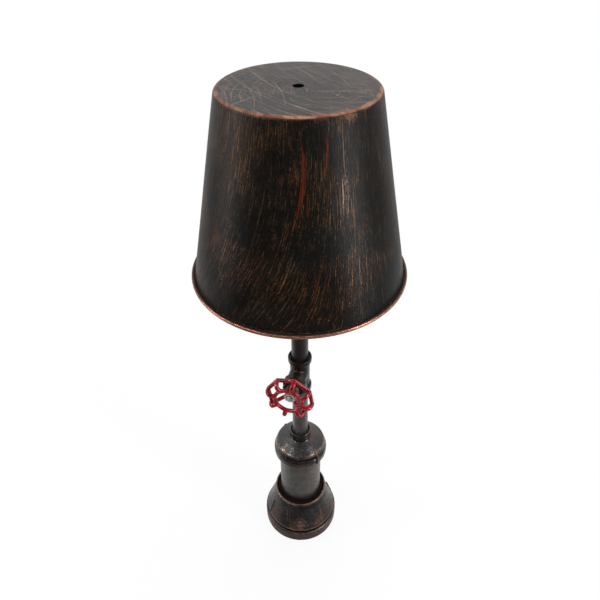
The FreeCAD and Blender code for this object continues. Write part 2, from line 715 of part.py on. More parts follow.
def handwheel():
    """Cast handwheel: an eight-cornered rim, eight bowed ribs, a raised ring, three spokes and a hub."""
    inner_ring = softened(ring(RING_R - RING_WIDTH / 2, RING_R + RING_WIDTH / 2, RING_BACK_L,
                               RING_BACK_L + RING_DEPTH), RING_SOFTENING)
    hub = turned([
        (0, HUB_BACK_L), (HUB_R, HUB_BACK_L, 1.2), (HUB_R, HUB_FRONT_L, 0.8), (0, HUB_FRONT_L),
    ])
    casting = fused(
        [wheel_rim(), inner_ring, hub]
        + around(wheel_rib(), spaced(RIB_COUNT, FIRST_RIB_DEG))
        + around(wheel_spoke(), spaced(SPOKE_COUNT, FIRST_SPOKE_DEG))
    )
    half = STEM_SQUARE / 2 + FIT
    casting = casting.cut(block((-half, -half, HUB_BACK_L - 1), (half, half, HUB_FRONT_L + 1)))
    return along_branch(casting)


def wheel_washer():
    bore_r = SCREW_SHANK_R + 0.2
    front = HUB_FRONT_L + WASHER_THICKNESS
    return along_branch(turned([
        (bore_r, HUB_FRONT_L), (WASHER_R, HUB_FRONT_L, 0.2), (WASHER_R, front, 0.4), (bore_r, front),
    ]))


def wheel_screw():
    screw = round_head_screw(SCREW_HEAD_R, SCREW_HEAD_HEIGHT, SCREW_SHANK_R, 6.8)
    return along_branch(spun(screw, SCREW_SLOT_DEG).translated(Vector(0, 0, HUB_FRONT_L + WASHER_THICKNESS)))


# ---------------------------------------------------------------------------- lampholder
def pipe_bushing():
    """Plug in the top of the pipe, bored for the holder's nipple."""
    low = HOLDER_PIPE_TOP_Z - THREAD_DEPTH
    top = HOLDER_PIPE_TOP_Z + BUSHING_HEAD
    return turned([
        (NIPPLE_R + FIT, low), (SMALL_PIPE_BORE_R - FIT, low, 0.5),
        (SMALL_PIPE_BORE_R - FIT, HOLDER_PIPE_TOP_Z), (SMALL_PIPE_R, HOLDER_PIPE_TOP_Z),
        (SMALL_PIPE_R, top, 0.8), (NIPPLE_R + FIT, top),
    ])


def holder_nipple():
    return pipe(NIPPLE_R, NIPPLE_BORE_R, HOLDER_PIPE_TOP_Z - 12, HOLDER_CAP_Z + 9)


def holder_locknut():
    return hexagon(15.0, HOLDER_PIPE_TOP_Z + BUSHING_HEAD, HOLDER_CAP_Z, NIPPLE_R + FIT, 0.6)


def holder_cap():
    """Domed cap of the lampholder, screwed on the nipple."""
    inner_r = HOLDER_R - HOLDER_WALL
    return turned([
        (NIPPLE_R + FIT, HOLDER_CAP_Z), (HOLDER_CAP_R, HOLDER_CAP_Z, 0.6),
        (HOLDER_CAP_R, HOLDER_CAP_Z + 4, 1.5), (HOLDER_R, HOLDER_CAP_Z + 10, 7.0),
        (HOLDER_R, HOLDER_BODY_Z), (inner_r, HOLDER_BODY_Z), (inner_r, HOLDER_CAP_Z + 12, 6.0),
        (HOLDER_CAP_R, HOLDER_CAP_Z + 7), (NIPPLE_R + FIT, HOLDER_CAP_Z + 7),
    ])


def holder_insulator():
    """Porcelain core that carries the contacts, with a passage for each wire."""
    core = turned([
        (0, INSULATOR_BOTTOM_Z), (INSULATOR_R, INSULATOR_BOTTOM_Z, 1.0), (INSULATOR_R, HOLDER_BODY_Z),
        (HOLDER_R - 2.0, HOLDER_BODY_Z), (HOLDER_R - 2.0, INSULATOR_RIM_Z, 0.6), (0, INSULATOR_RIM_Z),
    ])
    for side in (-1, 1):
        x = side * WIRE_PITCH / 2
        core = core.cut(rod(WIRE_R + 0.1, INSULATOR_BOTTOM_Z - 4, HOLDER_BODY_Z - 2, x, WIRE_Y))
    return core


def holder_shell():
    """Brass liner with the rolled thread that takes the bulb's cap."""
    low = INSULATOR_RIM_Z
    pitch = THREAD_PITCH
    corners = [(13.3, low), (14.6, low)]
    turns = 5
    for i in range(turns):
        corners += [(15.4, low + pitch * (i + 0.7), 0.9), (14.3, low + pitch * (i + 1.2), 0.9)]
    corners += [(14.9, low + pitch * (turns + 0.9)), (14.4, low + pitch * (turns + 0.9))]
    for i in reversed(range(turns)):
        corners += [(13.8, low + pitch * (i + 1.2), 0.9), (14.9, low + pitch * (i + 0.7), 0.9)]
    corners += [(13.3, low + 1.0)]
    return turned(corners)


def holder_contact():
    """Sprung centre contact that the bulb presses on."""
    foot = ring(0, 4.0, INSULATOR_RIM_Z, INSULATOR_RIM_Z + 0.6)
    tongue = rod(2.2, INSULATOR_RIM_Z + 0.4, BULB_CONTACT_Z - FIT)
    return fused([foot, tongue])


def holder_sleeve():
    """Outer sleeve of the holder, its upper part threaded for the shade rings."""
    seat_r = HOLDER_R - 1.9
    bore_r = HOLDER_R - 2 * HOLDER_WALL
    return turned([
        (seat_r, HOLDER_BODY_Z), (HOLDER_R, HOLDER_BODY_Z), (HOLDER_R, HOLDER_TOP_Z, 0.8),
        (bore_r, HOLDER_TOP_Z, 0.8), (bore_r, INSULATOR_RIM_Z + 1), (seat_r, INSULATOR_RIM_Z + 1),
    ])


def shade_ring(low):
    """Knurl-edged ring that screws on the sleeve and grips the spider."""
    top = low + SHADE_RING_HEIGHT
    body = turned([
        (HOLDER_R + FIT, low), (SHADE_RING_R, low, 0.8), (SHADE_RING_R, top, 0.8), (HOLDER_R + FIT, top),
    ])
    notch = rod(1.4, low - 1, top + 1, SHADE_RING_R + 0.6)
    for cut in around(notch, spaced(12)):
        body = body.cut(cut)
    return body


def shade_ring_lower():
    return shade_ring(SPIDER_Z - SHADE_RING_HEIGHT)


def shade_ring_upper():
    return shade_ring(SPIDER_Z + SPIDER_THICKNESS)


# ---------------------------------------------------------------------------- shade
def shade_slope():
    """Change of the shade's radius for each millimetre of height."""
    return (SHADE_TOP_R - SHADE_BOTTOM_R) / (SHADE_TOP_Z - SHADE_BOTTOM_Z)


def shade_wall_r(height):
    """Radius of the shade's outer face at a height."""
    return SHADE_BOTTOM_R + shade_slope() * (height - SHADE_BOTTOM_Z)


def shade_shell():
    """Spun steel cone with a flat top. Its lower edge is rolled outwards around a wire."""
    slant = SHADE_WALL * math.hypot(1, shade_slope())
    wire_x = SHADE_BOTTOM_R + RIM_BEAD_R - SHADE_WALL
    wall = turned([
        (0, SHADE_TOP_Z - SHADE_WALL), (0, SHADE_TOP_Z), (SHADE_TOP_R, SHADE_TOP_Z, SHADE_CORNER_R),
        (shade_wall_r(SHADE_BOTTOM_Z), SHADE_BOTTOM_Z),
        (shade_wall_r(SHADE_BOTTOM_Z) - slant, SHADE_BOTTOM_Z),
        (shade_wall_r(SHADE_TOP_Z - SHADE_WALL) - slant, SHADE_TOP_Z - SHADE_WALL,
         SHADE_CORNER_R - SHADE_WALL),
    ])
    bead = Part.makeTorus(wire_x, RIM_BEAD_R, Vector(0, 0, SHADE_BOTTOM_Z))
    bead = bead.cut(Part.makeTorus(wire_x, RIM_WIRE_R + FIT, Vector(0, 0, SHADE_BOTTOM_Z)))
    lip = turned([
        (wire_x, SHADE_BOTTOM_Z), (SHADE_BOTTOM_R - 2.0, SHADE_BOTTOM_Z + 0.1),
        (SHADE_BOTTOM_R - 2.0, SHADE_BOTTOM_Z + 4.0), (SHADE_BOTTOM_R + 0.4, SHADE_BOTTOM_Z + 4.0),
    ])
    shell = fused([wall, bead.cut(lip)])
    return shell.cut(rod(SHADE_HOLE_R, SHADE_TOP_Z - 5, SHADE_TOP_Z + 1))


def shade_rim_wire():
    wire_x = SHADE_BOTTOM_R + RIM_BEAD_R - SHADE_WALL
    return Part.makeTorus(wire_x, RIM_WIRE_R, Vector(0, 0, SHADE_BOTTOM_Z))


def shade_spider():
    """Gallery ring with three arms, whose turned-up tabs are spot-welded to the inside of the cone."""
    top = SPIDER_Z + SPIDER_THICKNESS
    tab_top = top + 16.0
    slant = SHADE_WALL * math.hypot(1, shade_slope()) + SPIDER_GAP
    low_r = shade_wall_r(SPIDER_Z) - slant
    high_r = shade_wall_r(tab_top) - slant
    tab = turned([
        (low_r - SPIDER_TAB, SPIDER_Z), (low_r, SPIDER_Z), (high_r, tab_top), (high_r - SPIDER_TAB, tab_top),
    ], SPIDER_TAB_DEG)
    reach = shade_wall_r(top) - slant - SPIDER_TAB / 2
    half = SPIDER_ARM_WIDTH / 2
    arm = block((SHADE_RING_R - 3.0, -half, SPIDER_Z), (reach, half, top))
    bead = block((SHADE_RING_R + 4.0, -1.4, top - 0.2), (reach - 8.0, 1.4, top + 1.2))
    limb = fused([arm, bead, spun(tab, -SPIDER_TAB_DEG / 2)])
    return fused([ring(HOLDER_R + 0.2, SHADE_RING_R, SPIDER_Z, top)] + around(limb, SPIDER_ANGLES))


# ---------------------------------------------------------------------------- bulb
def bulb_profile(inset):
    """Pear-shaped outline from the neck to the crown, inset from the outer face of the glass."""
    radius = BULB_R - inset
    return [
        (12.3 - inset, BULB_NECK_Z), (13.4 - inset, BULB_CAP_TOP_Z + 12.0, 30.0),
        (radius, BULB_TOP_Z - BULB_R - 18.0, 34.0), (radius, BULB_TOP_Z - inset, radius - 0.02),
        (0, BULB_TOP_Z - inset),
    ]


def bulb_glass():
    """Clear pear-shaped envelope, open at the neck."""
    outside = turned([(0, BULB_NECK_Z)] + bulb_profile(0.0))
    inside = turned([(0, BULB_NECK_Z)] + bulb_profile(BULB_WALL))
    return outside.cut(inside)


def bulb_cap():
    """Screw cap of the bulb, rolled to the holder's thread."""
    low = BULB_CONTACT_Z + 3.0
    pitch = THREAD_PITCH
    corners = [(3.6, low), (8.0, low), (12.2, low + 3.4)]
    turns = 4
    for i in range(turns):
        corners += [(13.1, low + pitch * (i + 1.5), 0.9), (12.3, low + pitch * (i + 2.0), 0.9)]
    corners += [
        (13.2, BULB_CAP_TOP_Z - 3.0), (13.2, BULB_CAP_TOP_Z), (12.7, BULB_CAP_TOP_Z),
        (12.7, BULB_NECK_Z - 0.2), (11.6, BULB_NECK_Z - 0.2), (11.6, low + 3.6), (7.8, low + 0.5),
        (3.6, low + 0.5),
    ]
    return turned(corners)


def bulb_contact():
    """Glass bead at the foot of the cap with the solder contact under it."""
    cap_z = BULB_CONTACT_Z + 3.0
    return turned([
        (0, BULB_CONTACT_Z), (2.4, BULB_CONTACT_Z, 0.6), (4.4, BULB_CONTACT_Z + 1.6), (7.6, cap_z),
        (3.55, cap_z), (3.55, cap_z + 0.6), (0, cap_z + 0.6),
    ])


def bulb_stem():
    """Glass mount inside the bulb: a flare sealed in the neck and a rod for the filament supports."""
    low = BULB_NECK_Z
    return turned([
        (0, low + 1.0), (11.4, low + 1.0), (11.4, low + 2.0), (5.0, low + 12.0, 8.0),
        (3.2, low + 26.0, 6.0), (2.2, low + 54.0, 2.1), (0, low + 54.0),
    ])


def bulb_filaments():
    """Four upright filament sticks standing on a wire cross above the mount."""
    low = BULB_CAP_TOP_Z + 24.0
    high = low + 30.0
    sticks = []
    for angle in spaced(4, 45.0):
        foot = polar(6.6, angle, low)
        crown = polar(10.0, angle, high)
        sticks.append(Part.makeCylinder(0.9, (crown - foot).Length, foot, crown - foot))
        inner = polar(3.15, angle, low)
        sticks.append(Part.makeCylinder(0.4, (foot - inner).Length, inner, foot - inner))
    return Part.makeCompound([fused(sticks[i:i + 2]) for i in range(0, len(sticks), 2)])


# ---------------------------------------------------------------------------- wires
def bent_wire(start_z, bend_z, end_y, rise):
    """Wire along Z at the lamp's axis that turns towards the front and ends at the dimmer's tags."""
    corner = Vector(0, WIRE_Y, bend_z)
    straight = Vector(0, WIRE_Y, bend_z - rise * WIRE_BEND_R)
    leaving = Vector(0, WIRE_Y - WIRE_BEND_R, bend_z)
    middle = corner + Vector(0, -WIRE_BEND_R, -rise * WIRE_BEND_R) * (1 - math.sqrt(0.5))
    path = Part.Wire([
        Part.LineSegment(Vector(0, WIRE_Y, start_z), straight).toShape(),
        Part.Arc(straight, middle, leaving).toShape(),
        Part.LineSegment(leaving, Vector(0, end_y, bend_z)).toShape(),
    ])
    section = Part.Wire(Part.makeCircle(WIRE_R, Vector(0, WIRE_Y, start_z), UP))
    wire = upright(path.makePipeShell([section], True, True))
    return Part.makeCompound([wire.translated(Vector(side * WIRE_PITCH / 2, 0, 0)) for side in (-1, 1)])


def lead_lower():
    """Pair of wires from the terminal block up to the dimmer."""
    return bent_wire(BLOCK_TOP_Z - 4.0, TEE_Z - TERMINAL_RISE, -TERMINAL_L + 0.05, 1)


def lead_upper():
    """Pair of wires from the dimmer up to the lampholder."""
    return bent_wire(HOLDER_BODY_Z - 3.0, TEE_Z + TERMINAL_RISE, -TERMINAL_L + 0.05, -1)


def lead_earth():
    """Earth wire from the tag on the ballast to the side of the terminal block."""
    start = Vector(EARTH_X + 7.2, 0, BALLAST_TOP_Z + 1.6)
    end = Vector(-BLOCK_SCREW_X - 3.4, 0, BALLAST_TOP_Z + 1.6)
    return Part.makeCylinder(WIRE_R, (end - start).Length, start, end - start)


PIECES = (
    foot_pad, base_plate, base_plate_screws, ballast, ballast_screws, base_bell, cable_grommet,
    terminal_block, terminal_block_screws, earth_screw, earth_tag, column_pipe, reducer_fitting,
    lower_pipe, tee_fitting, upper_pipe, branch_bush, switch_housing, switch_cover, switch_track,
    switch_terminals, switch_washer, switch_nut, switch_rotor, switch_wiper, stem, stem_clip,
    handwheel, wheel_washer, wheel_screw, pipe_bushing, holder_nipple, holder_locknut, holder_cap,
    holder_insulator, holder_shell, holder_contact, holder_sleeve, shade_ring_lower,
    shade_ring_upper, shade_spider, shade_shell, shade_rim_wire, bulb_glass, bulb_cap,
    bulb_contact, bulb_stem, bulb_filaments, lead_lower, lead_upper, lead_earth,
)


def main():
    os.makedirs("parts", exist_ok=True)
    for piece in PIECES:
        shape = piece()
        shape.exportStep(f"parts/{piece.__name__}.step")


main()
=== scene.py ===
"""Industrial pipe table lamp: looks, studio and camera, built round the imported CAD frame."""
import json
import logging
import math
from dataclasses import astuple, dataclass
from enum import Enum
from functools import cached_property, reduce
from typing import Optional, Sequence, Union

import bmesh
import bpy
from mathutils import Matrix, Vector

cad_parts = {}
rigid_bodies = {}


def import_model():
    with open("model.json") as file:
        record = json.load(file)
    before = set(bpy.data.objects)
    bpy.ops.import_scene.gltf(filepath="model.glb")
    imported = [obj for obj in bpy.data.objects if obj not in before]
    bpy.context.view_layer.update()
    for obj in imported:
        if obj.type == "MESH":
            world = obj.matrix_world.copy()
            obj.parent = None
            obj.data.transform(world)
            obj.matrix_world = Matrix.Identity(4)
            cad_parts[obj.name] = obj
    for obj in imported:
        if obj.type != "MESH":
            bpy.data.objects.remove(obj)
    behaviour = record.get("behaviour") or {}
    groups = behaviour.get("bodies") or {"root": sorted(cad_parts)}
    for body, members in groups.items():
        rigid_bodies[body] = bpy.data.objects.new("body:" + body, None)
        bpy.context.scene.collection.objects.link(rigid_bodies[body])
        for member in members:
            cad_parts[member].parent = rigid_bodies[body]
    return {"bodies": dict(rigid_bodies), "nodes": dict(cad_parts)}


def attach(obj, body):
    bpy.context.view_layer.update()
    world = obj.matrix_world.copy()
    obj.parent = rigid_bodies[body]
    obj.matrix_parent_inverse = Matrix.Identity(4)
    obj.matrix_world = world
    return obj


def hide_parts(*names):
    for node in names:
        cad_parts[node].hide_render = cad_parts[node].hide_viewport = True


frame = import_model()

LOG = logging.getLogger("lamp")
MM = 0.001
TO_MM = (1000.0, 1000.0, 1000.0)
STAND = "stand"
WHEEL = "wheel"
WHEEL_Z = 327.0
WHITE = (1.0, 1.0, 1.0, 1.0)

Socket = bpy.types.NodeSocket
Tree = bpy.types.NodeTree
Material = bpy.types.Material
Thing = bpy.types.Object
Mesh = bmesh.types.BMesh
Feed = Union[Socket, float, str, Sequence[float]]
Pair = tuple[float, float]
Point = tuple[float, float, float]


def tint(code: str) -> tuple[float, ...]:
    """Turns a written sRGB colour into the linear one that shaders take.

    Args:
        code: The colour as six hexadecimal digits.

    Returns:
        Linear red, green and blue, and full alpha.
    """
    parts = [int(code[i:i + 2], 16) / 255 for i in (0, 2, 4)]
    linear = [p / 12.92 if p <= 0.04045 else ((p + 0.055) / 1.055) ** 2.4 for p in parts]
    return (*linear, 1.0)


# ---------------- shader graphs


class Kind(Enum):
    """What a socket of a shared effect carries."""

    NUMBER = "NodeSocketFloat"
    VECTOR = "NodeSocketVector"


class Graph:
    """Adds nodes to one shader tree and joins them."""

    def __init__(self, tree: Tree) -> None:
        """Keeps the tree that the nodes go into."""
        self.tree = tree

    def add(self, kind: str, feeds: Optional[dict] = None, **settings: object) -> bpy.types.Node:
        """Adds a node.

        Args:
            kind: Blender's name for the node type.
            feeds: What goes into each input, by the input's name or number.
            settings: Plain settings of the node.

        Returns:
            The new node.
        """
        node = self.tree.nodes.new(kind)
        for name, value in settings.items():
            setattr(node, name, value)
        for key, feed in (feeds or {}).items():
            self.join(feed, node.inputs[key])
        return node

    def join(self, feed: Feed, socket: Socket) -> None:
        """Feeds an input.

        Args:
            feed: A socket to link, a plain value, or a colour as six hexadecimal digits.
            socket: The input.
        """
        if isinstance(feed, Socket):
            self.tree.links.new(feed, socket)
        else:
            socket.default_value = tint(feed) if isinstance(feed, str) else feed

    def math(self, operation: str, a: Feed, b: Feed = 0.0, clamp: bool = False) -> Socket:
        """Works out one sum on numbers; clamped, it stays within 0 and 1."""
        node = self.add("ShaderNodeMath", {0: a, 1: b}, operation=operation, use_clamp=clamp)
        return node.outputs[0]

    def plus(self, a: Feed, b: Feed) -> Socket:
        """Adds two numbers."""
        return self.math("ADD", a, b)

    def minus(self, a: Feed, b: Feed) -> Socket:
        """Takes the second number from the first."""
        return self.math("SUBTRACT", a, b)

    def times(self, a: Feed, b: Feed) -> Socket:
        """Multiplies two numbers, or weakens a mask by a share or by another mask."""
        return self.math("MULTIPLY", a, b)

    def vector(self, operation: str, a: Feed, b: Feed = (0.0, 0.0, 0.0)) -> Socket:
        """Works out one sum on vectors; length, distance and dot product come back as numbers."""
        node = self.add("ShaderNodeVectorMath", {0: a, 1: b}, operation=operation)
        return node.outputs["Value" if operation in ("LENGTH", "DOT_PRODUCT", "DISTANCE") else "Vector"]

    def millimetres(self, place: Feed) -> Socket:
        """Turns a point in metres into millimetres."""
        return self.vector("MULTIPLY", place, TO_MM)

    def parts(self, vector: Feed) -> list[Socket]:
        """Splits a vector into its three numbers."""
        return list(self.add("ShaderNodeSeparateXYZ", {0: vector}).outputs)

    def pack(self, x: Feed, y: Feed, z: Feed) -> Socket:
        """Joins three numbers into a vector."""
        return self.add("ShaderNodeCombineXYZ", {0: x, 1: y, 2: z}).outputs[0]

    def reach(self, x: Feed, y: Feed) -> Socket:
        """Works out how long the way is that goes x one way and y across it."""
        return self.vector("LENGTH", self.pack(x, y, 0.0))

    def spread(self, value: Feed, low: Feed, high: Feed, to_low: Feed = 0.0,
               to_high: Feed = 1.0) -> Socket:
        """Maps one range of numbers to another with soft ends."""
        node = self.add("ShaderNodeMapRange", {0: value, 1: low, 2: high, 3: to_low, 4: to_high},
                        interpolation_type="SMOOTHSTEP")
        return node.outputs[0]

    def colour(self, factor: Feed, under: Feed, over: Feed) -> Socket:
        """Lays one colour over another; the factor is how much of the upper one shows."""
        return self.add("ShaderNodeMix", {0: factor, 6: under, 7: over}, data_type="RGBA").outputs[2]

    def noise(self, vector: Feed, scale: Feed = 1.0, detail: float = 3.0, rough: float = 0.55) -> Socket:
        """Adds a noise pattern and returns its value."""
        feeds = {"Vector": vector, "Scale": scale, "Detail": detail, "Roughness": rough}
        return self.add("ShaderNodeTexNoise", feeds).outputs["Fac"]

    def lumps(self, vector: Feed, scale: Feed, detail: float, rough: float = 0.55) -> Socket:
        """Adds a noise pattern that swings evenly about nothing."""
        return self.minus(self.noise(vector, scale, detail, rough), 0.5)

    def plain_rays(self, seen: bpy.types.Node, mirrored: Feed) -> Socket:
        """Gives the share of each ray that shows the plain background, less for mirrored rays."""
        sharp = self.plus(self.times(seen.outputs["Is Glossy Ray"], mirrored),
                          seen.outputs["Is Transmission Ray"])
        return self.math("ADD", seen.outputs["Is Camera Ray"], sharp, clamp=True)

    def use(self, group: Tree, *feeds: Feed) -> Socket:
        """Places a shared effect; its inputs are fed in their order."""
        return self.add("ShaderNodeGroup", dict(enumerate(feeds)), node_tree=group).outputs[0]


class EffectTree(Graph):
    """A shared effect while it is being put together."""

    def __init__(self, name: str) -> None:
        """Starts the group of that name."""
        super().__init__(bpy.data.node_groups.new(name, "ShaderNodeTree"))
        self.entry = self.tree.nodes.new("NodeGroupInput")

    def takes(self, vectors: str, numbers: str) -> list[Socket]:
        """Names what the effect takes.

        Args:
            vectors: The names of the vectors, with spaces between them.
            numbers: The names of the numbers, which follow the vectors.

        Returns:
            One socket for each name.
        """
        for names, kind in ((vectors, Kind.VECTOR), (numbers, Kind.NUMBER)):
            for name in names.split():
                self.tree.interface.new_socket(name, in_out="INPUT", socket_type=kind.value)
        return [self.entry.outputs[name] for name in (vectors + " " + numbers).split()]

    def gives(self, name: str, result: Socket, kind: Kind = Kind.NUMBER) -> Tree:
        """Names what the effect puts out and closes it.

        Args:
            name: The output's name.
            result: What it carries.
            kind: Whether that is a number or a vector.

        Returns:
            The finished group.
        """
        self.tree.interface.new_socket(name, in_out="OUTPUT", socket_type=kind.value)
        self.join(result, self.tree.nodes.new("NodeGroupOutput").inputs[name])
        return self.tree


class Effects:
    """The effects that several finishes share, each built when it is first used."""

    @cached_property
    def wrap(self) -> Tree:
        """A round piece unrolled: millimetres round it and along its axis, leaning with depth."""
        e = EffectTree("wrapped_round_axis")
        place, girth, lean, start = e.takes("Place", "Girth Lean Start")
        x, y, z = e.parts(e.millimetres(place))
        round_axis = e.vector("NORMALIZE", e.pack(x, y, 0.0))
        depth = e.math("MAXIMUM", e.minus(start, z), 0.0)
        leaning = e.times(lean, e.spread(e.parts(round_axis)[0], 1.0, -0.2))
        angle = e.times(leaning, e.times(depth, depth))
        turned = e.add("ShaderNodeVectorRotate", {"Vector": round_axis, "Angle": angle},
                       rotation_type="Z_AXIS").outputs[0]
        sized = e.vector("MULTIPLY", turned, e.pack(girth, girth, girth))
        return e.gives("Vector", e.vector("ADD", sized, e.pack(0.0, 0.0, z)), Kind.VECTOR)

    @cached_property
    def brush(self) -> Tree:
        """Dry brush marks: noise drawn out along Z and broken up."""
        e = EffectTree("dry_brush_marks")
        vector, across, along, edge, soft, broken, grain = e.takes(
            "Vector", "Across Along Edge Softness Broken Grain")
        drawn = e.noise(e.vector("MULTIPLY", vector, e.pack(across, across, along)), detail=2.5)
        fine = e.pack(grain, grain, e.times(grain, 0.3))
        gaps = e.lumps(e.vector("MULTIPLY", vector, fine), 1.0, detail=4.0, rough=0.7)
        level = e.plus(drawn, e.times(gaps, broken))
        return e.gives("Mask", e.spread(level, edge, e.plus(edge, soft)))

    @cached_property
    def ring(self) -> Tree:
        """Wear along a ridge that runs round the axis, wide in some places and thin in others."""
        e = EffectTree("ring_wear")
        place, radius, height, width, ragged, grain, uneven = e.takes(
            "Place", "Radius Height Width Ragged Grain Uneven")
        point = e.millimetres(place)
        x, y, z = e.parts(point)
        away = e.reach(e.minus(e.reach(x, y), radius), e.minus(z, height))
        torn = e.times(e.lumps(point, grain, detail=5.0, rough=0.65), ragged)
        swell = e.times(e.lumps(point, e.times(grain, 0.09), detail=1.5), uneven)
        level = e.minus(e.minus(e.math("DIVIDE", away, width), torn), swell)
        return e.gives("Mask", e.spread(level, 1.0, 0.4))

    @cached_property
    def spot(self) -> Tree:
        """A rubbed place with a ragged edge."""
        e = EffectTree("rubbed_place")
        place, middle, reach, ragged, grain = e.takes("Place Middle", "Reach Ragged Grain")
        point = e.millimetres(place)
        away = e.math("DIVIDE", e.vector("DISTANCE", point, middle), reach)
        torn = e.times(e.lumps(point, grain, detail=5.0, rough=0.7), ragged)
        return e.gives("Mask", e.spread(e.minus(away, torn), 1.0, 0.2))

    @cached_property
    def arcs(self) -> Tree:
        """Scratches that swing round a point beside the piece."""
        e = EffectTree("swung_scratches")
        place, about, across, along, edge, soft = e.takes("Place About", "Across Along Edge Softness")
        x, y, _ = e.parts(e.millimetres(e.vector("SUBTRACT", place, about)))
        swing = e.times(e.math("ARCTAN2", y, x), 100.0)
        drawn = e.noise(e.pack(e.times(e.reach(x, y), across), e.times(swing, along), 0.0))
        return e.gives("Mask", e.spread(drawn, edge, e.plus(edge, soft)))

    @cached_property
    def stroke(self) -> Tree:
        """One drag of a loaded brush down a round piece, thin at both ends."""
        e = EffectTree("single_brush_stroke")
        place, girth, turn, end_turn, height, end_height, half, bend = e.takes(
            "Place", "Girth Turn EndTurn Height EndHeight HalfWidth Bend")
        x, y, z = e.parts(e.millimetres(place))
        gone = e.math("DIVIDE", e.minus(height, z), e.minus(height, end_height))
        swung = e.times(gone, e.minus(end_turn, turn))
        bowed = e.times(bend, e.times(gone, e.minus(1.0, gone)))
        middle = e.plus(turn, e.plus(swung, bowed))
        off = e.math("ABSOLUTE", e.minus(e.math("ARCTAN2", y, x), middle))
        taper = e.times(e.spread(gone, 0.0, 0.35), e.spread(gone, 1.0, 0.7))
        level = e.math("DIVIDE", e.times(off, girth), e.plus(e.times(half, taper), 0.01))
        return e.gives("Mask", e.times(e.spread(level, 1.0, 0.45), taper))

    @cached_property
    def blotch(self) -> Tree:
        """Soft patches of no fixed shape."""
        e = EffectTree("soft_blotches")
        vector, scale, low, high = e.takes("Vector", "Scale Low High")
        return e.gives("Mask", e.spread(e.noise(vector, scale, 5.0, 0.6), low, high))

    @cached_property
    def skin(self) -> Tree:
        """The height of a sand-cast or painted skin, coarse and fine together."""
        e = EffectTree("cast_skin")
        place, coarse, fine = e.takes("Place", "Coarse Fine")
        point = e.millimetres(place)
        swells = e.times(e.noise(point, coarse, detail=2.0), 0.7)
        sand = e.times(e.noise(point, fine, detail=3.0, rough=0.6), 0.3)
        return e.gives("Height", e.plus(swells, sand))


@dataclass(frozen=True)
class Stroke:
    """One drag of a brush, whose ends are degrees round the piece and millimetres up.

    At its middle it bows sideways by a quarter of the bend, which is in degrees.
    """

    start: Pair
    end: Pair
    half: float
    bend: float


@dataclass(frozen=True)
class Ridge:
    """A ridge round the axis, in millimetres, and how much of its wear shows."""

    radius: float
    height: float
    width: float
    share: float = 1.0


@dataclass(frozen=True)
class Rub:
    """A rubbed place, in millimetres, and how much of it shows."""

    middle: Point
    reach: float
    share: float


@dataclass(frozen=True)
class Swing:
    """Scratches that swing round a point beside the piece, which is in metres."""

    about: Point
    across: float
    along: float
    edge: float
    soft: float = 0.03


class Bench(Graph):
    """A material under way: its graph, its shader and the point it colours."""

    def __init__(self, name: str, effects: Effects) -> None:
        """Starts a material that has only its shader.

        Args:
            name: The material's name.
            effects: The shared effects.
        """
        self.material = bpy.data.materials.new(name)
        self.material.use_nodes = True
        super().__init__(self.material.node_tree)
        self.shader = self.tree.nodes["Principled BSDF"]
        self.effects = effects
        self.place = self.add("ShaderNodeTexCoord").outputs["Object"]

    @cached_property
    def point(self) -> Socket:
        """The surface point in millimetres."""
        return self.millimetres(self.place)

    def set(self, **values: Feed) -> None:
        """Sets or links the shader's inputs, named with underscores for spaces."""
        for name, feed in values.items():
            self.join(feed, self.shader.inputs[name.replace("_", " ")])

    def wrapped(self, girth: float, lean: float = 0.0, lean_from: float = 0.0) -> Socket:
        """Gives the unrolled coordinates of a round piece."""
        return self.use(self.effects.wrap, self.place, girth, lean, lean_from)

    def brush(self, vector: Feed, across: float, along: float, edge: Feed, soft: float,
              broken: float, grain: float) -> Socket:
        """Masks dry brush marks."""
        return self.use(self.effects.brush, vector, across, along, edge, soft, broken, grain)

    def ring(self, ridge: Ridge, ragged: float, grain: float, uneven: float) -> Socket:
        """Masks the wear of one ridge."""
        size = (ridge.radius, ridge.height, ridge.width)
        return self.times(self.use(self.effects.ring, self.place, *size, ragged, grain, uneven), ridge.share)

    def spot(self, rub: Rub, ragged: float, grain: float) -> Socket:
        """Masks one rubbed spot."""
        mask = self.use(self.effects.spot, self.place, rub.middle, rub.reach, ragged, grain)
        return self.times(mask, rub.share)

    def stroke(self, girth: float, drag: Stroke) -> Socket:
        """Masks one brush stroke on a piece of a given radius."""
        turn, end_turn, bend = (math.radians(a) for a in (drag.start[0], drag.end[0], drag.bend))
        return self.use(self.effects.stroke, self.place, girth, turn, end_turn, drag.start[1], drag.end[1],
                        drag.half, bend)

    def arcs(self, swing: Swing) -> Socket:
        """Masks one set of swung scratches."""
        return self.use(self.effects.arcs, self.place, *astuple(swing))

    def blotch(self, scale: float, low: float, high: float, on: Optional[Socket] = None) -> Socket:
        """Masks soft patches, on the surface point or on other coordinates."""
        return self.use(self.effects.blotch, self.point if on is None else on, scale, low, high)

    def patchy(self, scale: float, low: float, high: float, edges: Pair = (0.3, 0.7),
               on: Optional[Socket] = None) -> Socket:
        """Gives a number that goes from low to high in soft patches."""
        return self.spread(self.blotch(scale, *edges, on), 0.0, 1.0, low, high)

    def either(self, *masks: Feed) -> Socket:
        """Joins masks so that the strongest shows."""
        return reduce(lambda one, other: self.math("MAXIMUM", one, other), masks)

    def bump(self, height: Feed, depth_mm: float, strength: float, **after: Socket) -> Socket:
        """Turns a height into a normal, laid on the Normal that is given, if any."""
        feeds = {"Height": height, "Distance": depth_mm * MM, "Strength": strength, **after}
        return self.add("ShaderNodeBump", feeds).outputs[0]

    def skin(self, coarse: float, fine: float) -> Socket:
        """Gives the height of the cast or painted skin."""
        return self.use(self.effects.skin, self.place, coarse, fine)


# ---------------- finishes


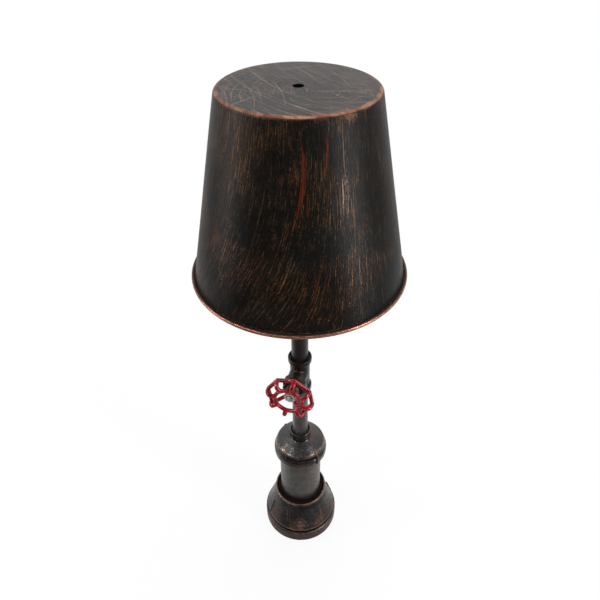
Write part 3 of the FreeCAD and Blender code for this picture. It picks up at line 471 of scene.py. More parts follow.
class Finish:
    """Something that paints a material in its own way."""

    name: str

    def make(self, effects: Effects) -> Material:
        """Builds the material.

        Args:
            effects: The shared effects.

        Returns:
            The painted material.
        """
        b = Bench(self.name, effects)
        self.paint(b)
        return b.material

    def paint(self, b: Bench) -> None:
        """Sets the shader's inputs, in each finish's own way."""
        raise NotImplementedError


@dataclass(frozen=True)
class ShadeLacquer(Finish):
    """Black lacquer with copper brushed over it, worn to copper at the corner and the bead."""

    name: str = "aged_shade_lacquer"
    lacquer: str = "131210"
    lacquer_cool: str = "141819"
    haze: str = "2d221a"
    copper: str = "7e4a30"
    copper_bright: str = "b07852"
    copper_red: str = "9a4326"
    # Pale copper of the strip where a highlight is painted in.
    copper_painted_highlight: str = "b8a08a"
    tan: str = "7d6446"
    plate_copper: str = "a28270"
    corner_copper: str = "86503c"
    corner_bright: str = "bb8668"
    bead_copper: str = "b87058"
    bead_bright: str = "e6b498"
    inside: str = "241b15"
    girth: float = 96.0
    foot_girth: float = 87.0
    lean: float = 1.25e-5
    top_z: float = 693.0
    middle_z: float = 594.0
    # The heading, in degrees, of the strip where a highlight is painted in.
    painted_highlight_deg: float = -47.0
    strokes: tuple[Stroke, ...] = (
        Stroke((-74.5, 684.0), (-78.6, 604.0), 2.0, 20.0), Stroke((-57.0, 684.0), (-60.0, 640.0), 1.3, 3.0),
        Stroke((-69.0, 646.0), (-80.0, 590.0), 0.9, 2.0))
    edge_wear: Ridge = Ridge(76.1, 692.4, 1.3)
    edge_haze: Ridge = Ridge(75.0, 692.8, 2.4, 0.45)
    rubs: tuple[Rub, ...] = (Rub((56.0, -50.0, 693.0), 9.0, 0.4), Rub((36.0, -64.0, 693.0), 7.0, 0.4))
    bead: Ridge = Ridge(117.2, 494.3, 4.0)
    swings: tuple[Swing, ...] = (
        Swing((-0.16, -0.10, 0.0), 1.8, 0.007, 0.66), Swing((0.13, 0.17, 0.0), 1.7, 0.007, 0.65),
        Swing((0.03, -0.01, 0.0), 1.9, 0.012, 0.635), Swing((-0.02, 0.19, 0.0), 1.7, 0.014, 0.645),
        Swing((0.12, -0.13, 0.0), 1.8, 0.012, 0.66))

    def brushed(self, b: Bench, side: Socket, painted_highlight: Socket) -> tuple[Socket, Socket, Socket]:
        """Lays the brush marks of the cone.

        Args:
            b: The material under way.
            side: The cone's unrolled coordinates.
            painted_highlight: The mask of the strip where a highlight is painted in.

        Returns:
            The masks of the haze, the fine marks and the bold marks.
        """
        busy = b.blotch(0.014, 0.36, 0.62, side)
        lower = b.spread(b.parts(b.place)[2], 0.60, 0.50, 0.0, 0.03)
        edge = b.plus(b.spread(busy, 0.0, 1.0, 0.69, 0.60), lower)
        # The strip with the painted highlight also gets denser marks.
        edge = b.minus(edge, b.times(painted_highlight, 0.025))
        hair = b.brush(side, across=1.5, along=0.030, edge=edge, soft=0.05, broken=0.42, grain=1.2)
        fine = b.brush(side, across=2.8, along=0.10, edge=b.minus(edge, 0.03),
                       soft=0.06, broken=0.50, grain=1.7)
        stray = b.brush(side, across=1.6, along=0.012, edge=0.68, soft=0.04, broken=0.2, grain=1.0)
        marks = b.either(b.times(hair, 0.8), b.times(fine, 0.45), b.times(stray, 0.85))
        bristle = b.brush(side, across=2.0, along=0.012, edge=0.42, soft=0.16, broken=0.25, grain=0.8)
        heavy = b.brush(side, across=0.34, along=0.0075, edge=0.745, soft=0.03, broken=0.08, grain=0.12)
        laid = [b.stroke(self.foot_girth, stroke) for stroke in self.strokes]
        smear = b.brush(side, across=2.4, along=0.14, edge=0.46, soft=0.16, broken=0.5, grain=1.5)
        haze = b.times(smear, b.spread(busy, 0.0, 1.0, 0.1, 0.8))
        return haze, marks, b.times(b.either(heavy, *laid), bristle)

    def painted_highlight(self, b: Bench, side: Socket) -> Socket:
        """Masks the strip of the cone where a highlight is painted in: paler copper and denser marks that
        stand in for a soft light's reflection.

        Args:
            b: The material under way.
            side: The cone's unrolled coordinates.

        Returns:
            The strip's mask.
        """
        turn = math.radians(self.painted_highlight_deg)
        beside = b.vector("DOT_PRODUCT", side, (-math.sin(turn), math.cos(turn), 0.0))
        facing = b.vector("DOT_PRODUCT", side, (math.cos(turn), math.sin(turn), 0.0))
        strip = b.times(b.spread(b.math("ABSOLUTE", beside), 9.0, 1.0), b.math("GREATER_THAN", facing, 0.0))
        up = b.parts(side)[2]
        return b.times(strip, b.times(b.spread(up, 580.0, 625.0), b.spread(up, 688.0, 665.0)))

    def paint(self, b: Bench) -> None:
        """Paints the cone outside and in, its flat top, its corner and its bead, and a highlight painted
        into one strip of the cone.

        Args:
            b: The material under way.
        """
        side = b.wrapped(self.girth, self.lean, self.top_z)
        on_side = b.spread(b.parts(b.place)[2], (self.top_z - 0.3) * MM, (self.top_z - 1.6) * MM)
        on_top = b.minus(1.0, on_side)
        painted_highlight = self.painted_highlight(b, side)
        haze, marks, bold = self.brushed(b, side, painted_highlight)
        bold = b.times(bold, on_side)
        scratched = b.times(b.either(*[b.arcs(swing) for swing in self.swings]), 0.95)
        marks = b.either(b.times(marks, on_side), b.times(scratched, on_top))
        corner = b.either(b.ring(self.edge_wear, 0.4, 0.8, 0.4), b.ring(self.edge_haze, 4.0, 1.1, 2.0),
                          *[b.spot(rub, 4.5, 0.9) for rub in self.rubs])
        bead = b.ring(self.bead, 0.6, 0.25, 0.2)
        body = b.colour(b.blotch(0.02, 0.4, 0.6, side), self.lacquer, self.lacquer_cool)
        speck = b.blotch(1.7, 0.42, 0.7, b.vector("MULTIPLY", side, (1.0, 1.0, 0.5)))
        body = b.colour(b.times(speck, 0.35), body, self.haze)
        body = b.colour(b.times(haze, on_side), body, self.haze)
        metal = b.colour(b.blotch(0.30, 0.38, 0.68, side), self.copper, self.copper_bright)
        metal = b.colour(b.times(b.blotch(0.025, 0.34, 0.55, side), 0.8), metal, self.tan)
        # Painted highlight: the copper turns pale in that strip, in place of a soft light's reflection.
        metal = b.colour(b.times(painted_highlight, 0.8), metal, self.copper_painted_highlight)
        metal = b.colour(on_top, metal, self.plate_copper)
        outer = b.colour(bold, b.colour(marks, body, metal), self.copper_red)
        worn = b.colour(b.blotch(0.06, 0.42, 0.58, side), self.corner_copper, self.corner_bright)
        outer = b.colour(corner, outer, worn)
        rub = b.brush(b.point, across=0.25, along=1.1, edge=0.45, soft=0.2, broken=0.2, grain=0.4)
        outer = b.colour(bead, outer, b.colour(rub, self.bead_copper, self.bead_bright))
        cover = b.either(b.times(marks, 0.6), bold, corner, bead)
        normal = b.add("ShaderNodeNewGeometry").outputs["Normal"]
        from_middle = b.vector("SUBTRACT", b.place, (0.0, 0.0, self.middle_z * MM))
        outside = b.math("GREATER_THAN", b.vector("DOT_PRODUCT", normal, from_middle), 0.0)
        relief = b.brush(side, across=1.0, along=0.05, edge=0.25, soft=0.5, broken=0.7, grain=1.2)
        b.set(Base_Color=b.colour(outside, self.inside, outer),
              Roughness=b.minus(b.spread(cover, 0.0, 1.0, 0.31, 0.42), b.times(bead, 0.19)),
              Metallic=b.times(b.either(b.times(cover, 0.7), b.times(bead, 0.5)), outside),
              Specular_IOR_Level=0.15,
              Normal=b.bump(relief, 0.11, 0.8, Normal=b.bump(b.skin(0.05, 0.8), 0.06, 0.4)))


@dataclass(frozen=True)
class CastPatina(Finish):
    """Cast iron under dark paint, brushed with copper where hands and cloths reach."""

    name: str = "aged_casting"
    dark: str = "161413"
    cool: str = "1d2325"
    rust: str = "3a241a"
    copper: str = "6e5145"
    copper_bright: str = "b8957c"
    # Near-black painted shade for the pieces under the lamp's shade.
    painted_shade: str = "0d0d0c"
    # Near-black painted shade for the hollows.
    hollow_painted_shade: str = "080706"
    girth: float = 45.0
    foot_z: float = 21.0
    shaded: Pair = (230.0, 280.0)
    rings: tuple[Ridge, ...] = (
        Ridge(56.0, 20.3, 1.3, 0.45), Ridge(53.2, 26.5, 1.6, 0.4), Ridge(37.8, 74.0, 2.6, 0.6),
        Ridge(34.4, 187.0, 1.9, 0.5), Ridge(37.8, 168.0, 1.8, 0.35))
    rubs: tuple[Rub, ...] = (
        Rub((-19.0, -29.0, 186.5), 7.0, 1.0), Rub((6.0, -34.0, 187.0), 4.0, 0.8),
        Rub((24.0, -25.0, 187.0), 4.0, 0.7), Rub((12.0, -48.0, 36.0), 12.0, 1.0),
        Rub((0.0, -52.0, 27.0), 8.0, 0.9), Rub((-30.0, -42.0, 36.0), 10.0, 0.5),
        Rub((40.0, -32.0, 34.0), 12.0, 0.5), Rub((-14.0, -18.0, 195.0), 10.0, 0.5))
    wipes: tuple[Stroke, ...] = (
        Stroke((-106.0, 66.0), (-100.0, 30.0), 1.0, 4.0), Stroke((-100.0, 62.0), (-95.0, 34.0), 0.7, 4.0),
        Stroke((-30.0, 60.0), (-34.0, 30.0), 1.6, 3.0), Stroke((-72.0, 50.0), (-60.0, 30.0), 1.4, 4.0))
    # Hollows that get painted shade: the base's mouth, the groove above the foot and the groove under the
    # coupling's ridge.
    shaded_hollows: tuple[Ridge, ...] = (
        Ridge(31.0, 64.0, 12.0), Ridge(52.2, 22.0, 2.6), Ridge(35.4, 181.5, 1.8))

    def worn(self, b: Bench) -> Socket:
        """Masks the places where copper shows.

        Args:
            b: The material under way.

        Returns:
            The mask.
        """
        around = b.wrapped(self.girth)
        fleck = b.brush(around, across=0.16, along=0.8, edge=0.56, soft=0.10, broken=0.5, grain=1.0)
        fleck = b.times(fleck, b.blotch(0.07, 0.42, 0.6))
        swept = b.brush(around, across=0.12, along=0.9, edge=0.44, soft=0.16, broken=0.5, grain=0.9)
        glint = b.times(b.blotch(0.9, 0.60, 0.68), b.blotch(0.08, 0.45, 0.62))
        rubbed = [b.times(b.spot(rub, 4.0, 0.45), swept) for rub in self.rubs]
        wiped = [b.times(b.times(b.stroke(self.girth, wipe), swept), 0.7) for wipe in self.wipes]
        return b.either(b.times(fleck, 0.28), b.times(glint, 0.35),
                        *[b.ring(ridge, 3.2, 0.35, 4.0) for ridge in self.rings], *rubbed, *wiped)

    def paint(self, b: Bench) -> None:
        """Paints the iron, its rust and its worn copper, with painted shade in its hollows and toward the
        top, under the lamp's shade.

        Args:
            b: The material under way.
        """
        up = b.parts(b.point)[2]
        body = b.colour(b.blotch(0.05, 0.42, 0.58), self.dark, self.cool)
        rusty = b.times(b.blotch(0.045, 0.47, 0.62), 0.9)
        body = b.colour(rusty, body, self.rust)
        body = b.colour(b.spread(up, self.foot_z, self.foot_z - 2.5, 0.0, 0.7), body, self.rust)
        worn = self.worn(b)
        bright = b.blotch(0.5, 0.42, 0.66)
        colour = b.colour(worn, body, b.colour(bright, self.copper, self.copper_bright))
        # Painted shade: darker toward the top, where the tee sits under the lamp's shade.
        colour = b.colour(b.spread(up, *self.shaded, 0.0, 0.55), colour, self.painted_shade)
        # Painted shade in the hollows, which also lose most of their specular level.
        deep = b.either(0.0, *[b.ring(ridge, 0.1, 0.3, 0.0) for ridge in self.shaded_hollows])
        gloss = b.minus(b.spread(up, 100.0, 160.0, 0.4, 0.68), b.spread(up, *self.shaded, 0.0, 0.38))
        b.set(Base_Color=b.colour(deep, colour, self.hollow_painted_shade),
              Roughness=b.patchy(0.3, 0.19, 0.38),
              Metallic=b.times(worn, 0.6), Specular_IOR_Level=b.spread(deep, 0.0, 1.0, gloss, 0.05),
              Normal=b.bump(b.skin(0.12, 0.4), 0.5, 0.65))


@dataclass(frozen=True)
class PipePatina(Finish):
    """Drawn pipe under dark paint that was wiped round it."""

    name: str = "aged_pipe"
    dark: str = "3a3937"
    warm: str = "4b3c31"
    cool: str = "475054"
    copper: str = "7d5a44"
    # Painted shade up under the lamp's shade.
    painted_shade: str = "242321"
    # Painted shade at the column's foot, where it enters the base.
    painted_joint_shade: str = "131110"
    girth: float = 30.0
    slant: float = 0.9
    shaded_from: float = 360.0
    foot_z: float = 74.5

    def paint(self, b: Bench) -> None:
        """Paints the pipe, its wiped copper and its scratches, with painted shade at the column's foot and
        up under the lamp's shade.

        Args:
            b: The material under way.
        """
        around = b.wrapped(self.girth)
        body = b.colour(b.blotch(0.07, 0.4, 0.62, around), self.dark, self.cool)
        warmed = b.times(b.blotch(0.05, 0.45, 0.66, around), 0.7)
        body = b.colour(warmed, body, self.warm)
        wiped = b.brush(around, across=0.07, along=0.7, edge=0.50, soft=0.10, broken=0.4, grain=0.6)
        slanted = b.vector("ADD", around, b.pack(0.0, 0.0, b.times(b.parts(around)[0], self.slant)))
        level = b.brush(slanted, across=0.16, along=1.5, edge=0.62, soft=0.08, broken=0.4, grain=0.9)
        upright = b.brush(around, across=1.3, along=0.08, edge=0.63, soft=0.08, broken=0.4, grain=0.9)
        fleck = b.times(b.blotch(0.9, 0.60, 0.70, around), 0.35)
        worn = b.either(b.times(wiped, 0.25), b.times(b.either(level, upright), 0.6), fleck)
        colour = b.colour(worn, body, self.copper)
        up = b.parts(b.place)[2]
        # Painted shade: darker up under the lamp's shade.
        painted_shade_mask = b.spread(up, (self.shaded_from - 40.0) * MM, self.shaded_from * MM)
        # Painted shade: darker at the column's foot, where it enters the base.
        foot_shade_mask = b.spread(up, (self.foot_z + 16.0) * MM, self.foot_z * MM)
        colour = b.colour(b.times(foot_shade_mask, 0.85), colour, self.painted_joint_shade)
        b.set(Base_Color=b.colour(painted_shade_mask, colour, self.painted_shade),
              Roughness=b.patchy(0.25, 0.28, 0.46, on=around),
              Metallic=b.times(worn, 0.4), Specular_IOR_Level=b.spread(painted_shade_mask, 0.0, 1.0, 0.7, 0.45),
              Normal=b.bump(b.skin(0.13, 1.1), 0.25, 0.6))


@dataclass(frozen=True)
class Enamel(Finish):
    """Thick glossy enamel over a casting."""

    name: str = "red_enamel_gloss"
    deep: str = "7a0812"
    bright: str = "c41427"
    chip: str = "3a1512"

    def paint(self, b: Bench) -> None:
        """Paints the pooled enamel and its chips.

        Args:
            b: The material under way.
        """
        body = b.colour(b.blotch(0.16, 0.4, 0.62), self.deep, self.bright)
        chips = b.times(b.blotch(0.6, 0.68, 0.72), 0.7)
        b.set(Base_Color=b.colour(chips, body, self.chip),
              Roughness=b.patchy(0.4, 0.12, 0.25, (0.4, 0.65)),
              Specular_IOR_Level=0.8, Normal=b.bump(b.skin(0.3, 0.8), 0.35, 0.8))


@dataclass(frozen=True)
class Plated(Finish):
    """Bright or dull metal with fine turning or rolling marks."""

    name: str
    colour: str
    stained: str
    shine: float = 0.25
    dull: float = 0.42
    stain: float = 0.5
    metal: float = 0.95
    # Painted shade in thin rings between the screw and its washer.
    painted_joint_shade: str = "2a211c"
    painted_shade_radii: tuple[float, ...] = ()

    def paint(self, b: Bench) -> None:
        """Paints the metal, its stains and thin rings of painted shade round the wheel's axis.

        Args:
            b: The material under way.
        """
        patches = b.times(b.blotch(0.35, 0.45, 0.7), self.stain)
        colour = b.colour(patches, self.colour, self.stained)
        x, _, z = b.parts(b.point)
        out = b.reach(x, b.minus(z, WHEEL_Z))
        # Painted shade: thin dark rings round the wheel's axis, between the screw and its washer.
        for radius in self.painted_shade_radii:
            line = b.spread(b.math("ABSOLUTE", b.minus(out, radius)), 0.75, 0.2)
            colour = b.colour(b.times(line, 0.85), colour, self.painted_joint_shade)
        b.set(Base_Color=colour, Metallic=self.metal,
              Roughness=b.patchy(1.1, self.shine, self.dull),
              Normal=b.bump(b.skin(0.5, 3.0), 0.03, 0.5))


@dataclass(frozen=True)
class Moulded(Finish):
    """Moulded, turned or fired material with a soft skin."""

    name: str
    colour: str
    worn: str
    rough: float = 0.4
    fine: float = 1.5
    depth: float = 0.05
    gloss: float = 0.5

    def paint(self, b: Bench) -> None:
        """Paints the material and its specks.

        Args:
            b: The material under way.
        """
        body = b.colour(b.blotch(0.12, 0.35, 0.7), self.colour, self.worn)
        speck = b.times(b.blotch(self.fine, 0.62, 0.72), 0.3)
        b.set(Base_Color=b.colour(speck, body, self.worn),
              Roughness=b.patchy(0.6, self.rough, self.rough + 0.1),
              Specular_IOR_Level=self.gloss,
              Normal=b.bump(b.skin(0.3, self.fine), self.depth, 0.5))


@dataclass(frozen=True)
class EarthCover(Finish):
    """Green wire cover with a yellow stripe that winds along it."""

    name: str = "earth_wire_cover"
    green: str = "1d7a35"
    yellow: str = "d8c21e"

    def paint(self, b: Bench) -> None:
        """Paints the two colours.

        Args:
            b: The material under way.
        """
        x, y, z = b.parts(b.point)
        wave = b.math("SINE", b.times(b.plus(b.plus(x, y), z), 0.9))
        b.set(Base_Color=b.colour(b.spread(wave, -0.1, 0.1), self.green, self.yellow),
              Roughness=0.38, Normal=b.bump(b.skin(0.4, 2.5), 0.03, 0.4))


@dataclass(frozen=True)
class LampGlass(Finish):
    """Clear blown glass with a faint thickness wave."""

    name: str = "clear_lamp_glass"

    def paint(self, b: Bench) -> None:
        """Makes the shader clear and lets its surface wave."""
        b.set(Base_Color=(0.98, 0.985, 0.98, 1.0), Roughness=0.02, IOR=1.47, Transmission_Weight=1.0,
              Normal=b.bump(b.skin(0.03, 0.12), 0.12, 0.3))


# ---------------- mesh work


@dataclass(frozen=True)
class Corner:
    """One corner of an outline in millimetres, and how far its rounding reaches along its edges."""

    r: float
    z: float
    cut: float = 0.0


def drawn_outline(corners: Sequence[Corner], closed: bool, steps: int) -> Mesh:
    """Draws an outline beside the axis and rounds its corners.

    Args:
        corners: The outline's corners in order.
        closed: Whether the last corner joins the first.
        steps: How many edges each rounding has.

    Returns:
        The bmesh that holds the outline.
    """
    bm = bmesh.new()
    dots = [bm.verts.new((c.r * MM, 0.0, c.z * MM)) for c in corners]
    for a, b in zip(dots, dots[1:] + dots[:1] if closed else dots[1:]):
        bm.edges.new((a, b))
    for cut in sorted({c.cut for c in corners if c.cut}):
        chosen = [d for d, c in zip(dots, corners) if c.cut == cut]
        bmesh.ops.bevel(bm, geom=chosen, offset=cut * MM, offset_type="OFFSET", affect="VERTICES",
                        segments=steps, profile=0.5, material=-1)
    return bm


def lathe(bm: Mesh, steps: int) -> None:
    """Spins an outline once round the axis and closes what meets.

    Args:
        bm: The bmesh that holds the outline.
        steps: How many facets the turn has.
    """
    bmesh.ops.spin(bm, geom=bm.verts[:] + bm.edges[:], cent=(0, 0, 0), axis=(0, 0, 1),
                   angle=math.tau, steps=steps, use_merge=True)
    bmesh.ops.remove_doubles(bm, verts=bm.verts, dist=1e-6)
    bmesh.ops.recalc_face_normals(bm, faces=bm.faces)


def piece(bm: Mesh, name: str, crease: float = 35.0) -> Thing:
    """Makes an object of a bmesh, smooth except at its creases.

    Args:
        bm: The finished shape.
        name: The object's name.
        crease: The angle in degrees past which an edge stays sharp.

    Returns:
        The linked object.
    """
    for face in bm.faces:
        face.smooth = True
    for edge in bm.edges:
        if len(edge.link_faces) == 2 and edge.calc_face_angle() > math.radians(crease):
            edge.smooth = False
    mesh = bpy.data.meshes.new(name)
    bm.to_mesh(mesh)
    bm.free()
    made = bpy.data.objects.new(name, mesh)
    bpy.context.scene.collection.objects.link(made)
    return made


def uneven(target: Thing, name: str, depth: float, size: float, middle: float = 0.5) -> None:
    """Lets a surface wander a little in and out.

    Args:
        target: The piece.
        name: The wander's name.
        depth: How far it wanders in all, in millimetres.
        size: How wide one swell is, in millimetres.
        middle: The share of the depth that lies inside the true surface.
    """
    pattern = bpy.data.textures.new(name, "CLOUDS")
    pattern.noise_scale = size * MM
    pattern.noise_depth = 2
    wander = target.modifiers.new(name, "DISPLACE")
    wander.texture = pattern
    wander.texture_coords = "LOCAL"
    wander.strength = depth * MM
    wander.mid_level = middle


def dress(target: Thing, material: Material) -> None:
    """Gives a piece one material on all its faces.

    Args:
        target: The piece.
        material: Its material.
    """
    if target.material_slots:
        for slot in target.material_slots:
            slot.material = material
    else:
        target.data.materials.append(material)


# ---------------- the lamp


@dataclass
class Shade:
    """The spun cone with its flat top, vent hole and wired bead."""

    hole_radius: float = 5.5
    top_radius: float = 76.7
    top_z: float = 692.85
    corner: float = 3.4
    bead_radius: float = 2.45
    bead_out: float = 116.8
    bead_z: float = 494.5
    wall: float = 0.7
    steps: int = 256
    wander: str = "spinning_wander"
    settling: float = 25.0

    def build(self) -> Thing:
        """Spins the sheet, curls its edge round the wire and gives it its wall.

        Returns:
            The shell.
        """
        half = self.wall / 2
        curl = self.bead_radius - half
        inner, outer = self.bead_out - curl, self.bead_out + curl
        low, high = self.bead_z - curl, self.bead_z + curl
        top_r, top_z = self.top_radius - half, self.top_z - half
        foot_r, foot_z = inner - 0.1, high + 0.6
        down_cone = [0.035, *(0.06 * i for i in range(1, 16)), 0.975]
        corners = [Corner(self.hole_radius, top_z), Corner(self.hole_radius + 0.6, top_z)]
        corners += [Corner(self.hole_radius + 8.0 * i, top_z) for i in range(1, 9)]
        corners += [Corner(top_r, top_z, self.corner)]
        corners += [Corner(top_r + (foot_r - top_r) * share, top_z + (foot_z - top_z) * share)
                    for share in down_cone]
        corners += [Corner(foot_r, foot_z, 0.5)]
        corners += [Corner(r, z, curl * 0.98) for r, z in ((inner, low), (outer, low), (outer, high))]
        corners += [Corner(inner + 1.0, high)]
        bm = drawn_outline(corners, closed=False, steps=7)
        lathe(bm, self.steps)
        shell = piece(bm, "shade_skin", 50.0)
        uneven(shell, self.wander, 0.3, 70.0)
        self.hold_bead(shell)
        wall = shell.modifiers.new("wall", "SOLIDIFY")
        wall.thickness = self.wall * MM
        wall.offset = 0.0
        wall.use_even_offset = True
        return shell

    def hold_bead(self, shell: Thing) -> None:
        """Keeps the bead true: the wander grows from nothing above it.

        Args:
            shell: The spun sheet.
        """
        group = shell.vertex_groups.new(name="free_sheet")
        for vertex in shell.data.vertices:
            above = vertex.co.z / MM - self.bead_z - self.bead_radius
            group.add([vertex.index], min(max(above / self.settling, 0.0), 1.0), "REPLACE")
        shell.modifiers[self.wander].vertex_group = group.name

    def dress(self, shell: Thing, finish: Material) -> None:
        """Lacquers the shell and puts it in the CAD shell's place.

        Args:
            shell: The spun sheet.
            finish: The lacquer.
        """
        dress(shell, finish)
        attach(shell, STAND)
        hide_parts("shade_shell")


@dataclass
class Casting:
    """A cast piece: its solid with the edges run soft and the skin uneven, as sand leaves them."""

    node: str
    name: str
    body: str
    slot: str
    grain: float
    rounds: int = 6
    swell: float = 0.0
    lumps: float = 0.25
    lump_size: float = 5.0

    def build(self) -> Thing:
        """Copies the solid, closes its skin, softens it and lets it wander.

        Returns:
            The casting.
        """
        bm = bmesh.new()
        bm.from_mesh(frame["nodes"][self.node].data)
        bmesh.ops.remove_doubles(bm, verts=bm.verts, dist=1e-6)
        made = piece(bm, self.name, 180.0)
        skin = made.modifiers.new("sand_skin", "REMESH")
        skin.mode = "VOXEL"
        skin.voxel_size = self.grain * MM
        skin.use_smooth_shade = True
        soft = made.modifiers.new("run_edges", "SMOOTH")
        soft.factor = 0.5
        soft.iterations = self.rounds
        thick = made.modifiers.new("paint", "DISPLACE")
        thick.strength = self.swell * MM
        thick.mid_level = 0.0
        uneven(made, self.name + "_lumps", self.lumps, self.lump_size)
        return made

    def dress(self, made: Thing, finish: Material) -> None:
        """Finishes the casting and puts it in its solid's place.

        Args:
            made: The casting.
            finish: Its paint.
        """
        dress(made, finish)
        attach(made, self.body)
        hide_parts(self.node)


@dataclass
class Packing:
    """The packing that fills the base's mouth round the column; its near-black colour is painted shade."""

    inner: float = 30.3
    outer: float = 36.1
    low: float = 63.2
    high: float = 72.6
    sag: float = 1.4

    def build(self) -> Thing:
        """Spins the ring with a dished, rounded top.

        Returns:
            The ring.
        """
        middle = (self.inner + self.outer) / 2
        corners = [Corner(self.inner, self.low), Corner(self.outer, self.low),
                   Corner(self.outer, self.high, 0.8), Corner(middle, self.high - self.sag, 1.4),
                   Corner(self.inner, self.high - self.sag * 0.6, 0.5)]
        bm = drawn_outline(corners, closed=True, steps=6)
        lathe(bm, 128)
        ring = piece(bm, "joint_packing", 60.0)
        uneven(ring, "packing_lumps", 0.4, 4.0, 1.0)
        return ring

    def dress(self, ring: Thing, finish: Material) -> None:
        """Finishes the ring and sets it on the stand.

        Args:
            ring: The ring.
            finish: Its material.
        """
        dress(ring, finish)
        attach(ring, STAND)


# ---------------- the studio


@dataclass(frozen=True)
class SoftBox:
    """One soft light: its azimuth in degrees from the lamp's front, the rest in metres and watts."""

    name: str
    azimuth: float
    height: float
    away: float
    size: Pair
    power: float
    aim: float = 0.45

    def hang(self) -> None:
        """Hangs the light so that it faces the lamp's axis at the height that it aims at."""
        data = bpy.data.lights.new(self.name, "AREA")
        data.shape = "RECTANGLE"
        data.size, data.size_y = self.size
        data.energy = self.power
        a = math.radians(self.azimuth)
        spot = Vector((math.sin(a) * self.away, -math.cos(a) * self.away, self.height))
        hung = bpy.data.objects.new(self.name, data)
        facing = (Vector((0.0, 0.0, self.aim)) - spot).to_track_quat("-Z", "Y")
        hung.matrix_world = Matrix.Translation(spot) @ facing.to_matrix().to_4x4()
        bpy.context.scene.collection.objects.link(hung)


@dataclass
class Studio:
    """The pale floor, the soft light and the camera."""

    lens: float = 33.84
    sensor: float = 36.0
    eye: Point = (0.14144, -0.49576, 0.85981)
    turn: float = 15.865
    pitch: float = 38.754
    roll: float = -0.294
    floor_radius: float = 0.95
    surround_rise: float = 0.55
    surround_low: float = 0.42
    paper: tuple[float, ...] = (0.8, 0.8, 0.8, 1.0)
    mirrored_paper: tuple[float, ...] = (0.16, 0.16, 0.16, 1.0)
    boxes: tuple[SoftBox, ...] = (
        SoftBox("right_box", 75.0, 0.75, 1.25, (0.20, 1.3), 11.0),
        SoftBox("left_box", -70.0, 0.75, 1.25, (0.22, 1.3), 5.0),
        SoftBox("top_box", 180.0, 1.9, 0.6, (1.2, 1.2), 12.0, 0.3),
        SoftBox("catch_light", -38.0, 1.25, 1.0, (0.22, 0.22), 2.6, 0.25))

    def camera(self) -> None:
        """Makes the camera at its solved place."""
        data = bpy.data.cameras.new("view")
        data.lens = self.lens
        data.sensor_width = self.sensor
        data.clip_start = 0.01
        seer = bpy.data.objects.new("view", data)
        turns = (Matrix.Rotation(math.radians(self.turn), 4, "Z")
                 @ Matrix.Rotation(math.radians(90.0 - self.pitch), 4, "X")
                 @ Matrix.Rotation(math.radians(self.roll), 4, "Z"))
        seer.matrix_world = Matrix.Translation(self.eye) @ turns
        bpy.context.scene.collection.objects.link(seer)
        bpy.context.scene.camera = seer

    def behind(self) -> Vector:
        """Gives the level direction from the camera past the lamp."""
        return Vector((-math.sin(math.radians(self.turn)), math.cos(math.radians(self.turn)), 0.0))

    def world(self) -> None:
        """Makes a white background and a soft surround that lights the lamp from behind and above."""
        world = bpy.data.worlds.new("studio")
        bpy.context.scene.world = world
        world.use_nodes = True
        world.node_tree.nodes.clear()
        g = Graph(world.node_tree)
        direction = g.add("ShaderNodeTexCoord").outputs["Generated"]
        away = (self.behind() + Vector((0.0, 0.0, self.surround_rise))).normalized()
        side = g.vector("DOT_PRODUCT", direction, tuple(away))
        low = g.spread(g.parts(direction)[2], 0.0, 0.5, self.surround_low, 1.0)
        seen = g.add("ShaderNodeLightPath")
        plain = g.plain_rays(seen, g.times(g.spread(side, 0.2, 0.85), low))
        strength = g.times(g.spread(side, -0.6, 0.8, 0.03, 1.0), low)
        white = g.add("ShaderNodeBackground", {"Color": WHITE, "Strength": 1.0})
        soft = g.add("ShaderNodeBackground", {"Color": WHITE, "Strength": strength})
        mixed = g.add("ShaderNodeMixShader", {0: plain, 1: soft.outputs[0], 2: white.outputs[0]})
        g.add("ShaderNodeOutputWorld", {"Surface": mixed.outputs[0]})

    def floor(self) -> None:
        """Lays the pale floor, which fades into the background at its edge."""
        bm = bmesh.new()
        bmesh.ops.create_circle(bm, cap_ends=True, segments=96, radius=self.floor_radius)
        ground = piece(bm, "floor")
        material = bpy.data.materials.new("pale_floor")
        material.use_nodes = True
        material.node_tree.nodes.clear()
        g = Graph(material.node_tree)
        place = g.add("ShaderNodeTexCoord").outputs["Object"]
        back = g.vector("DOT_PRODUCT", place, tuple(self.behind()))
        far = g.times(g.spread(back, -0.16, 0.2, 0.0, 0.9), g.spread(back, 0.25, 0.6, 1.0, 0.36))
        seen = g.add("ShaderNodeLightPath")
        plain = g.plain_rays(seen, far)
        fade = g.spread(g.vector("LENGTH", place), self.floor_radius * 0.25, self.floor_radius * 0.95,
                        0.9, 1.0)
        near = g.times(seen.outputs["Is Glossy Ray"], g.minus(1.0, far))
        paper = g.add("ShaderNodeBsdfDiffuse", {"Color": g.colour(near, self.paper, self.mirrored_paper)})
        glow = g.add("ShaderNodeEmission", {"Color": WHITE, "Strength": 1.0})
        mixed = g.add("ShaderNodeMixShader", {0: g.times(plain, fade), 1: paper.outputs[0],
                                              2: glow.outputs[0]})
        g.add("ShaderNodeOutputMaterial", {"Surface": mixed.outputs[0]})
        dress(ground, material)

    def build(self) -> None:
        """Sets up the whole studio."""
        self.camera()
        self.world()
        self.floor()
        for box in self.boxes:
            box.hang()


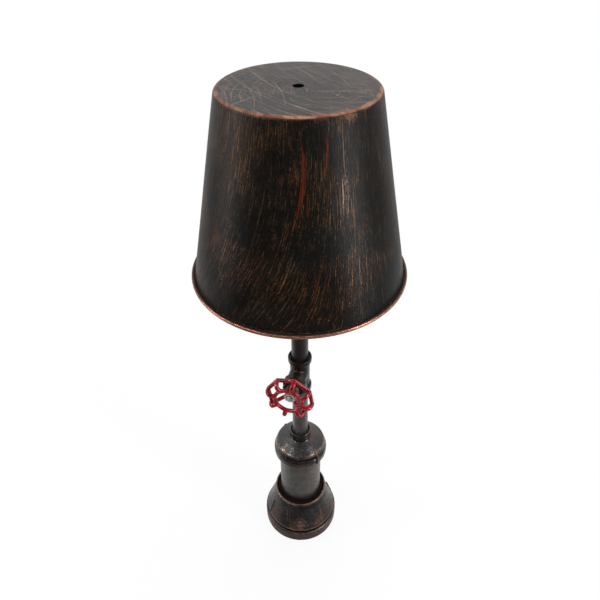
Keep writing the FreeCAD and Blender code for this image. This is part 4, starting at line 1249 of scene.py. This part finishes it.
FINISHES = {
    "aged_steel_shade": ShadeLacquer(),
    "aged_iron": CastPatina(),
    "black_pipe": PipePatina(),
    "red_enamel": Enamel(),
    "raw_iron": Moulded("raw_cast_iron", "3a3836", "4a3a30", 0.55, 1.2, 0.3),
    "bright_wire": Plated("bright_wire_steel", "b9b7b2", "8a857c"),
    "nickel": Plated("dull_nickel", "f4f1ea", "c9c3b8", 0.3, 0.42, 0.4, 0.3, painted_shade_radii=(4.1, 7.4)),
    "steel": Plated("zinced_steel", "a9a9a6", "7e7c78", 0.3, 0.45),
    "brass": Plated("lamp_brass", "c39a4c", "8c6a35", 0.22, 0.4),
    "rubber": Moulded("black_rubber", "151515", "1d1c1b", 0.62, 2.0, 0.08),
    "black_moulding": Moulded("black_moulding_skin", "141312", "1e1c1a", 0.32),
    "board": Moulded("phenolic_board", "6b4423", "7d5430", 0.5, 2.4, 0.06),
    "porcelain": Moulded("glazed_porcelain", "ded9cd", "cfc8b8", 0.14, 1.0, 0.04),
    "filament": Moulded("filament_phosphor", "e0a92c", "c88f1d", 0.5, 3.0, 0.02),
    "wire_insulation": Moulded("wire_cover", "5b2f1d", "6b3a25", 0.4, 2.0, 0.03),
    "earth_insulation": EarthCover(),
    "clear_glass": LampGlass(),
}
# Near-black packing colour, painted shade: the lit top of the packing is darkened so the base's mouth looks
# shaded.
SHADE_DARK_PUTTY = Moulded("joint_putty_painted_shade", "0a0807", "20100a", 0.62, 1.2, 0.25, 0.12)


def clear_start_scene() -> None:
    """Takes away what Blender's own start scene holds."""
    kept = set(frame["nodes"].values()) | set(frame["bodies"].values())
    for stray in [o for o in bpy.data.objects if o not in kept]:
        bpy.data.objects.remove(stray)


def main() -> None:
    """Builds the studio and the lamp's looks in order."""
    logging.basicConfig(level=logging.INFO, format="%(message)s")
    clear_start_scene()
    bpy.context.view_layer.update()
    bpy.context.scene.view_settings.view_transform = "Standard"
    Studio().build()
    effects = Effects()
    looks = {slot: finish.make(effects) for slot, finish in FINISHES.items()}
    for name, node in frame["nodes"].items():
        slot = node.material_slots[0].material.name.split(".")[0]
        dress(node, looks[slot])
        LOG.info("dressed %s with %s", name, slot)
    shade = Shade()
    shade.dress(shade.build(), looks["aged_steel_shade"])
    LOG.info("shade spun")
    for casting in (
        Casting("base_bell", "base_casting", STAND, "aged_iron", 0.86, 2, lumps=0.4, lump_size=7.0),
        Casting("reducer_fitting", "coupling_casting", STAND, "aged_iron", 0.55, 4, lumps=0.3),
        Casting("tee_fitting", "tee_casting", STAND, "aged_iron", 0.42),
        Casting("handwheel", "wheel_casting", WHEEL, "red_enamel", 0.31, 14, 0.3, lumps=0.35, lump_size=3.0),
    ):
        casting.dress(casting.build(), looks[casting.slot])
        LOG.info("cast %s", casting.name)
    packing = Packing()
    packing.dress(packing.build(), SHADE_DARK_PUTTY.make(effects))
    LOG.info("mouth packed")


if __name__ == "__main__":
    main()
